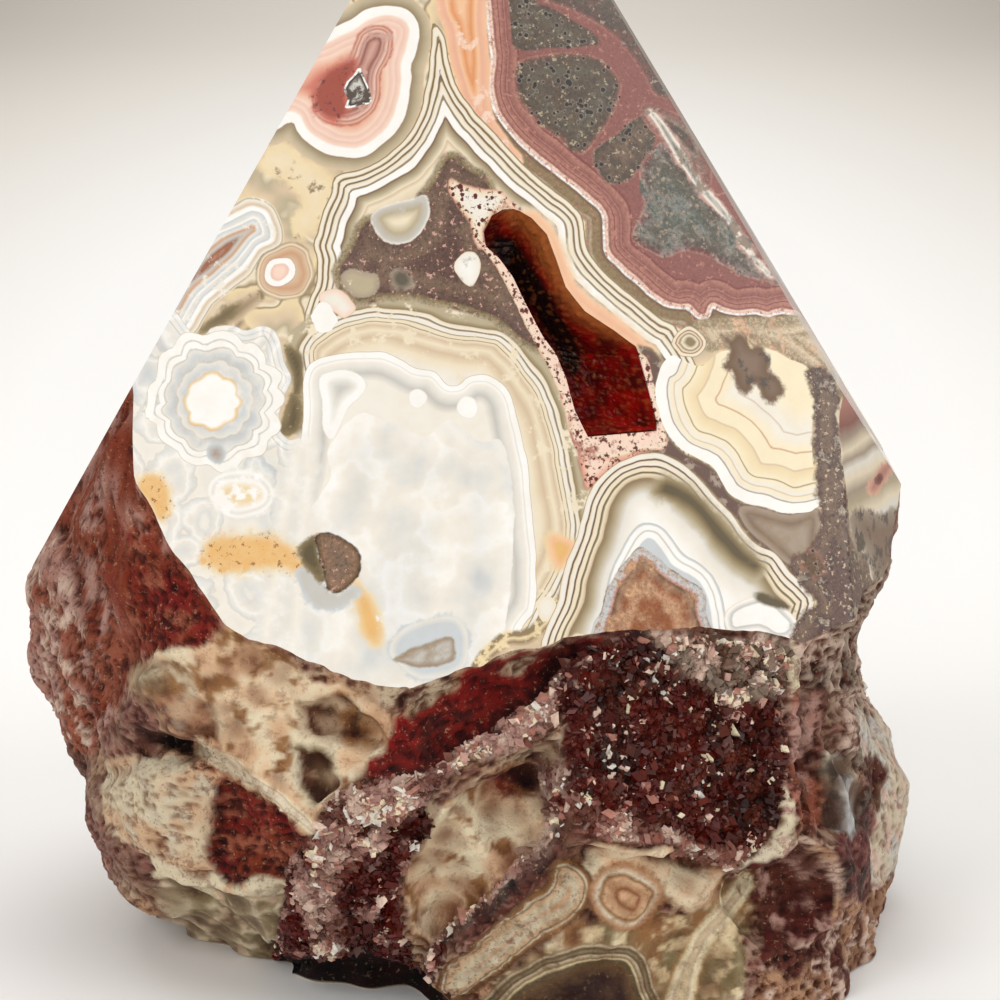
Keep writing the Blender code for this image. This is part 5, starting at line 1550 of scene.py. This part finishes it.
def point_tiles(faces, spots, fields):
    """Each face's tile, and the tiles' materials. A face lies in the tile of its first corner."""
    across = np.searchsorted(in_view([(count, 0) for count in TILE_ACROSS])[:, 0], spots[:, 0])
    down = np.searchsorted(-in_view([(0, count) for count in TILE_DOWN])[:, 1], -spots[:, 1])
    tile = (down * (len(TILE_ACROSS) + 1) + across)[[face[0] for face in faces]]
    corners = np.array([face[index % len(face)] for face in faces for index in range(4)]).reshape(-1, 4)
    kept, tiles = np.unique(tile, return_inverse=True)
    materials = []
    for number in range(len(kept)):
        inside = np.unique(corners[tiles == number])
        layers = {name: layer for name, layer in PATTERN.items()
                  if fields[name][inside].max() > read_stops(layer[1])[0][0] - TILE_REACH}
        materials.append(polished_agate(f"polished_agate_{number + 1}", layers))
    return tiles, materials


def base_rings():
    """Rings of the natural base from the foot up to the rim, before their fine relief."""
    rim = rim_ring()
    bearings = np.degrees(np.arctan2(rim[:, 1], rim[:, 0]))
    share = np.arange(1, BASE_ROWS + 1)[:, None] / BASE_ROWS
    heights = rim[:, 2] * share
    heights[-1] = rim[:, 2]
    rings = turned_out(bearings, natural_radius(bearings, heights), heights)
    rings[-1] = rim
    return rings


@functools.cache
def base_surface():
    """The base's rings, outward directions, ground colours, finish, fine rise, crystal shares and crests.

    Hollows and creases get painted shade by how far the fine surface lies under its own average, and crests
    of wax get a painted highlight. Where columns are wide, rise and colour are averaged up the stone as far
    as across it.
    """
    rings = base_rings()
    ground, finish = natural_ground(rings)
    rise, share = fine_relief(rings, finish)
    wide = smooth_step((column_spacing(rings) - WIDE_SPACING) / WIDE_SPACING)
    rise = passed(rise, smoothed(rise, WIDE_PASSES, around=False), wide)
    ground = passed(ground, smoothed(ground, WIDE_PASSES, around=False), wide[..., None])
    # Painted shade in the hollows and small creases, then a painted highlight towards ivory on crests of wax
    over = rise - smoothed(rise, HOLLOW_PASSES)
    ground = painted_shade(ground, 1.0 - smooth_step(HOLLOW_LEVEL + over / HOLLOW_RUN))
    small = (rise - smoothed(rise, CREST_PASSES)) / CREST_RISE
    ground = painted_shade(ground, smooth_step(-small))
    crest = smooth_step(small) * CREST_HIGHLIGHT * finish[..., 1]
    ground = passed(ground, colour_arrays()["ivory"], crest[..., None])
    return rings, ring_normals(rings), ground, finish, rise, share, over


def column_spacing(rings):
    """How far each point is from the next around its ring."""
    return np.linalg.norm(np.roll(rings, -1, axis=1) - rings, axis=-1)


def painted_shade(ground, share):
    """Colours less a share of the tint of painted shade."""
    return ground * (1.0 - PAINTED_SHADE_TINT * share[..., None])


def fine_relief(rings, finish):
    """Rise of the fine surface: crystals, conchoidal scoops where it is waxy, pits elsewhere.

    Druse is large crystals with small ones over them, on coarse blocks. Waxy stone is large and small
    scoops. Pitted stone has lower blocks, round pits under the peaks of small crystals, and grooves
    where ridged noise is near 0. Grain is over it all, half as high on wax.
    """
    held = sizes()
    crystal, wax, pitted, stands = (finish[..., axis] for axis in range(4))
    large, share = crystal_height(rings, held["druse_width"], 3)
    small, _ = crystal_height(rings, held["druse_width"] * SMALL_DRUSE, 13)
    blocks, _ = crystal_height(rings, BLOCK_SIZE, 23)
    pits, _ = crystal_height(rings, PIT_SIZE, 29)
    grain = layered_noise(rings, GRAIN_SIZE, 3, 59)
    ridges = np.abs(layered_noise(rings, GROOVE_SIZE, 4, 53))
    rise = (crystal * held["druse_rise"] * (1.3 * large + 0.6 * small - 0.8)
            + (crystal * 1.3 + pitted * 0.35) * (blocks - 0.6)
            + wax * (1.5 * scoops(rings, SCOOP_SIZES[0], 61) + 0.6 * scoops(rings, SCOOP_SIZES[1], 67) - 0.75)
            - pitted * (0.6 * smooth_step((pits - 0.45) * 3.0) + 1.6 * np.maximum(0.12 - ridges, 0.0))
            + held["rind_grain"] * grain * (1.0 - 0.5 * wax) + stands)
    return rise, share


def make_base():
    """The natural base: rind, chalcedony and druse crust, from the foot to the edge of the polish."""
    rings, normals, ground, finish, rise, share, crest = base_surface()
    edge = rings[-1, :, 2]
    fade = smooth_step((edge - rings[..., 2]) / RIM_FADE) * smooth_step(rings[..., 2] / FOOT_FADE)
    shaped = rings + normals * (rise * fade)[..., None]
    shaped[..., 2] = np.maximum(shaped[..., 2], 0.0)
    # Pale crystals of the druse with a painted highlight: they show more on the crests than in the hollows
    pale_and_highlight = (share > PALE_CRYSTALS) * smooth_step((finish[..., 0] - PALE_DRUSE) * 3.0) * druse_clusters(rings)
    pale_and_highlight = pale_and_highlight * smooth_step(0.5 + crest / GRAIN_CREST) * PALE_AND_HIGHLIGHT_STRENGTH
    shades = colour_arrays()
    ground = passed(ground, shades["blush"], pale_and_highlight[..., None])
    foot = rings[0][None] * np.array(FOOT_SHARES)[:, None, None] * np.array((1.0, 1.0, 0.0))
    cap, middle = inner_cap(rings[-1], 0.0)
    loft = np.concatenate((foot, shaped, cap))
    points, faces = closed_loft(loft, np.zeros(3), middle)
    plain = np.concatenate((foot, rings, cap))
    spots = pattern_spots(np.concatenate((np.zeros((1, 3)), plain.reshape(-1, 3), middle[None])))
    fields = outline_depths(BASE_PATTERN, spots)
    rind = np.zeros((len(FOOT_SHARES), rings.shape[1], 1))
    inner = np.zeros((len(CAP_SHARES), rings.shape[1], 1))

    def spread(values, below):
        """Carry values of the outer surface over the foot and the cap."""
        body = np.concatenate((rind + below, values, inner + below)).reshape(-1, values.shape[-1])
        return np.concatenate((body[:1], body, body[-1:]))

    fields["ground"] = spread(ground, shades["tan"])
    fields["crystal"] = spread(finish[..., :1], 0.0)[:, 0]
    fields["wax"] = spread(finish[..., 1:2], FOOT_WAX)[:, 0]
    piece = mesh_object("agate_base", points, faces, fields, natural_agate())
    piece.data.set_sharp_from_angle(angle=np.radians(CRYSTAL_SHARP))
    return piece


def crust_rings():
    """Rings of the crust in the pocket: its back from the middle out, then its front back in.

    A ring is a square outline in the pocket's own measures, -1 to 1 across and up, shrunk by a share
    and carried onto the wall. The front stands off the wall by a gap.
    """
    turns = [np.arange(count) / count * 2.0 - 1.0 for count in CRUST_COLUMNS]
    across = np.concatenate((turns[0], 0 * turns[1] + 1.0, -turns[2], 0 * turns[3] - 1.0))
    upward = np.concatenate((0 * turns[0] - 1.0, turns[1], 0 * turns[2] + 1.0, -turns[3]))
    back = CRUST_EDGE * (1.0 + np.arange(CRUST_BACK)) / CRUST_BACK
    front = CRUST_EDGE * (1.0 - np.arange(CRUST_FRONT) / CRUST_FRONT)
    shares = np.concatenate((back, front))[:, None]
    bearings, heights = pocket_place(across * shares, upward * shares)
    facet = turned_out(bearings, polished_radius(bearings, heights), heights)
    shares = shares + 0.0 * bearings
    gaps = np.where(np.arange(len(shares)) < CRUST_BACK, CRUST_BACK_GAP, CRUST_GAP)[:, None] + 0.0 * bearings
    return sunk(facet, shares, gaps), np.concatenate((back, front))


def make_crust():
    """The druse that lines the pocket: packed small crystals on a crust, amber and deep red, with painted
    shadow in black.
    """
    held = sizes()
    rings, shares = crust_rings()
    grown, _ = crystal_height(rings, held["pocket_width"], 7)
    small, tint = crystal_height(rings, held["pocket_width"] * CRUST_SMALL, 17)
    is_front = np.arange(len(rings)) >= CRUST_BACK
    fade = (is_front * smooth_step((CRUST_EDGE - shares) / CRUST_FADE))[:, None]
    rise = held["pocket_rise"] * (grown + 0.35 * small)
    shaped = rings + ring_normals(rings) * (rise * fade)[..., None]
    spots = seen_from_front(rings)
    shades = colour_arrays()
    mottle = smooth_step(0.5 + 1.2 * layered_noise(rings, CRUST_MOTTLE, 3, 61))[..., None]
    ground = passed(shades["ruby"], shades["blood"], mottle)
    # The amber zone, then the black one: painted shadow in the deep left of the pocket
    for name, (softness, outline) in CRUST_ZONES.items():
        share = smooth_step(0.5 + signed_depth(spots, in_view(outline)) / softness)[..., None]
        ground = passed(ground, shades[name], share)
    # Painted glints: crystals with a high random share pass a little towards amber
    glints = (tint > CRUST_GLINTS)[..., None]
    ground = passed(ground, shades["amber"], glints * CRUST_GLINT_SHARE)
    first, last = shaped[0].mean(axis=0), shaped[-1].mean(axis=0)
    points, faces = closed_loft(shaped, first, last)
    tints = ground.reshape(-1, 4)
    fields = {"ground": np.concatenate((tints[:1], tints, tints[-1:]))}
    piece = mesh_object("pocket_druse", points, faces, fields, druse_material("pocket_druse", 0.3))
    piece.data.set_sharp_from_angle(angle=np.radians(CRYSTAL_SHARP))
    return piece


def druse_clusters(rings):
    """0 where the druse outside is dark, 1 where its pale crystals cluster."""
    return smooth_step(0.15 + 3.0 * layered_noise(rings, 2.6, 4, 77))


def make_grains():
    """Small single crystals on the druse outside: skewed blocks of six faces, half sunk, in clusters.

    A block's corners are its middle plus or minus half of three edges: across, along and up the
    surface's own direction with a random lean, each skewed by a random share of the next.
    """
    rings, normals, ground, finish, rise, _, crest = base_surface()
    cluster = druse_clusters(rings)
    below = rings[-1, :, 2] - rings[..., 2]
    clear = (below > GRAIN_MARGIN) & (rings[..., 2] > GRAIN_MARGIN)
    weight = smooth_step((finish[..., 0] - GRAIN_DRUSE) * 3.0) * column_spacing(rings) * (0.25 + cluster)
    weight = (weight * clear).ravel()
    chance = np.random.default_rng(5)
    count = bpy.context.scene.agate_sizes.grain_count
    spot = chance.choice(weight.size, count, replace=False, p=weight / weight.sum())
    surface = rings + normals * rise[..., None]
    middle = surface.reshape(-1, 3)[spot]
    beside = np.roll(surface, -1, axis=1).reshape(-1, 3)[spot]
    middle = middle + (beside - middle) * chance.uniform(0.0, 1.0, (count, 1))
    axis = normals.reshape(-1, 3)[spot] + chance.normal(0.0, GRAIN_LEAN, (count, 3))
    axis /= np.linalg.norm(axis, axis=1, keepdims=True)
    side = np.cross(axis, chance.normal(0.0, 1.0, (count, 3)))
    side /= np.linalg.norm(side, axis=1, keepdims=True)
    other = np.cross(axis, side)
    width = sizes()["grain_width"] * np.clip(np.exp(chance.normal(0.0, GRAIN_VARIES, count)), *GRAIN_RANGE)
    stretch = width[:, None] * chance.uniform(*GRAIN_STRETCH, (count, 3)) / 2.0
    skew = chance.uniform(-GRAIN_SKEW, GRAIN_SKEW, (count, 3, 1))
    edges = np.stack((side + skew[:, 0] * axis, other + skew[:, 1] * side, axis + skew[:, 2] * other), axis=1)
    edges *= stretch[..., None]
    signs = np.array(list(np.ndindex(2, 2, 2))) * 2.0 - 1.0
    points = middle[:, None] + np.einsum("ck,nkj->ncj", signs, edges)
    walls = np.array(((0, 1, 3, 2), (4, 6, 7, 5), (0, 4, 5, 1), (2, 3, 7, 6), (0, 2, 6, 4), (1, 5, 7, 3)))
    faces = (walls + 8 * np.arange(count)[:, None, None]).reshape(-1, 4).tolist()
    held = colours()
    shades = np.array([held[name] for name in GRAIN_COLOURS])
    # Pale grains go to the crests, where they stand in as a painted highlight
    full = (smooth_step((finish[..., 0] - 0.8) / 0.15) * 0.7 + 0.3) * smooth_step(0.5 + crest / GRAIN_CREST)
    pale = chance.uniform(0.0, 1.0, count) < 0.02 + 0.95 * (cluster * full).ravel()[spot]
    pick = np.where(pale, chance.choice(GRAIN_PALE, count), chance.choice(len(shades) - GRAIN_PALE, count)
                    + GRAIN_PALE)
    own = np.where(pale, *GRAIN_OWN)[:, None]
    tints = passed(ground.reshape(-1, 4)[spot], shades[pick], own)
    tints = np.repeat(tints[:, None], 8, axis=1).reshape(-1, 4)
    piece = mesh_object("druse_grains", points.reshape(-1, 3), faces, {"ground": tints},
                        druse_material("druse_grains", 0.25))
    piece.data.shade_flat()
    return piece


class AGATE_OT_point(bpy.types.Operator):
    """Add the polished point"""

    bl_idname = "agate.point"
    bl_label = "Polished point"

    def execute(self, context):
        piece = make_point()
        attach(piece, "root")
        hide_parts("agate_stone")
        return {"FINISHED"}


class AGATE_OT_base(bpy.types.Operator):
    """Add the natural base"""

    bl_idname = "agate.base"
    bl_label = "Natural base"

    def execute(self, context):
        piece = make_base()
        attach(piece, "root")
        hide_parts("agate_stone")
        return {"FINISHED"}


class AGATE_OT_druse(bpy.types.Operator):
    """Add the druse in the pocket and the grains on the base"""

    bl_idname = "agate.druse"
    bl_label = "Druse"

    def execute(self, context):
        crust = make_crust()
        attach(crust, "root")
        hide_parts("crystal_crust")
        grains = make_grains()
        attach(grains, "root")
        return {"FINISHED"}


class AGATE_OT_stage(bpy.types.Operator):
    """Add the floor, the lights and the camera"""

    bl_idname = "agate.stage"
    bl_label = "Floor, lights and camera"

    def execute(self, context):
        add_floor(context.scene.agate_stage)
        add_lights(context.scene.agate_stage)
        add_camera()
        context.scene.view_settings.view_transform = "Standard"
        return {"FINISHED"}


class AGATE_PT_panel(bpy.types.Panel):
    """Lists the pieces of the stone and its stage"""

    bl_idname = "AGATE_PT_panel"
    bl_label = "Agate point"
    bl_space_type = "VIEW_3D"
    bl_region_type = "UI"
    bl_category = "Agate"

    def draw(self, context):
        for operator in OPERATORS:
            self.layout.operator(operator.bl_idname)
        for held in (context.scene.agate_sizes, context.scene.agate_stage, context.scene.agate_colours):
            box = self.layout.box()
            for name in type(held).__annotations__:
                box.prop(held, name)


def add_floor(held):
    """A pale sheet that runs level under the stone, then bends up behind it in a quarter circle."""
    width = held.floor_width
    bend = width * FLOOR_BEND
    level = width * FLOOR_BEHIND
    turn = np.linspace(0.0, np.pi / 2.0, FLOOR_STEPS)
    behind = np.concatenate(((-width * FLOOR_BEFORE,), bend * np.sin(turn) + level, (level + bend,)))
    height = np.concatenate(((0.0,), bend * (1.0 - np.cos(turn)), (width,)))
    across = np.array((-width, width)) / 2.0
    points = np.stack(np.broadcast_arrays(across[:, None], behind, height), -1).reshape(-1, 3)
    row = np.arange(len(behind) - 1)
    faces = np.stack((row, row + len(behind), row + len(behind) + 1, row + 1), -1)
    mesh = bpy.data.meshes.new("paper_floor")
    mesh.from_pydata(points, [], faces.tolist())
    mesh.shade_smooth()
    mesh.materials.append(paper_material())
    floor = bpy.data.objects.new("paper_floor", mesh)
    bpy.context.scene.collection.objects.link(floor)


def add_lights(held):
    """A pale world and four large soft lights: upper left, right, in front and overhead."""
    world = bpy.data.worlds.new("pale_studio")
    world.use_nodes = True
    around = world.node_tree.nodes["Background"].inputs
    around["Color"].default_value = WORLD_COLOUR
    around["Strength"].default_value = WORLD_STRENGTH
    bpy.context.scene.world = world
    for name, place, share, width in SOFT_LIGHTS:
        light = bpy.data.lights.new(name, "AREA")
        light.energy = held.key_power * share
        light.size = held.key_width * width
        lamp = bpy.data.objects.new(name, light)
        lamp.location = place
        lamp.rotation_euler = (LIGHT_TARGET - Vector(place)).to_track_quat("-Z", "Y").to_euler()
        bpy.context.scene.collection.objects.link(lamp)


def add_camera():
    """The camera of the front view."""
    data = bpy.data.cameras.new("front_camera")
    data.lens = CAMERA_LENS
    data.sensor_width = CAMERA_SENSOR
    camera = bpy.data.objects.new("front_camera", data)
    camera.location = Vector((view_axes()[2] + axis_shift()) * MM)
    camera.rotation_euler = (np.pi / 2.0 - VIEW_TILT, 0.0, 0.0)
    bpy.context.scene.collection.objects.link(camera)
    bpy.context.scene.camera = camera


OPERATORS = (AGATE_OT_point, AGATE_OT_base, AGATE_OT_druse, AGATE_OT_stage)
GROUPS = {"agate_colours": AgateColours, "agate_sizes": AgateSizes, "agate_stage": StageSizes}


def register():
    """Make the groups, the operators and the panel known."""
    for name, group in GROUPS.items():
        bpy.utils.register_class(group)
        setattr(bpy.types.Scene, name, bpy.props.PointerProperty(type=group))
    for operator in OPERATORS:
        bpy.utils.register_class(operator)
    bpy.utils.register_class(AGATE_PT_panel)


def unregister():
    """Forget them again."""
    bpy.utils.unregister_class(AGATE_PT_panel)
    for operator in OPERATORS:
        bpy.utils.unregister_class(operator)
    for name, group in GROUPS.items():
        delattr(bpy.types.Scene, name)
        bpy.utils.unregister_class(group)


def main():
    """Build every piece and the stage."""
    register()
    bpy.ops.agate.point()
    bpy.ops.agate.base()
    bpy.ops.agate.druse()
    bpy.ops.agate.stage()
    bpy.context.view_layer.update()


if __name__ == "__main__":
    main()
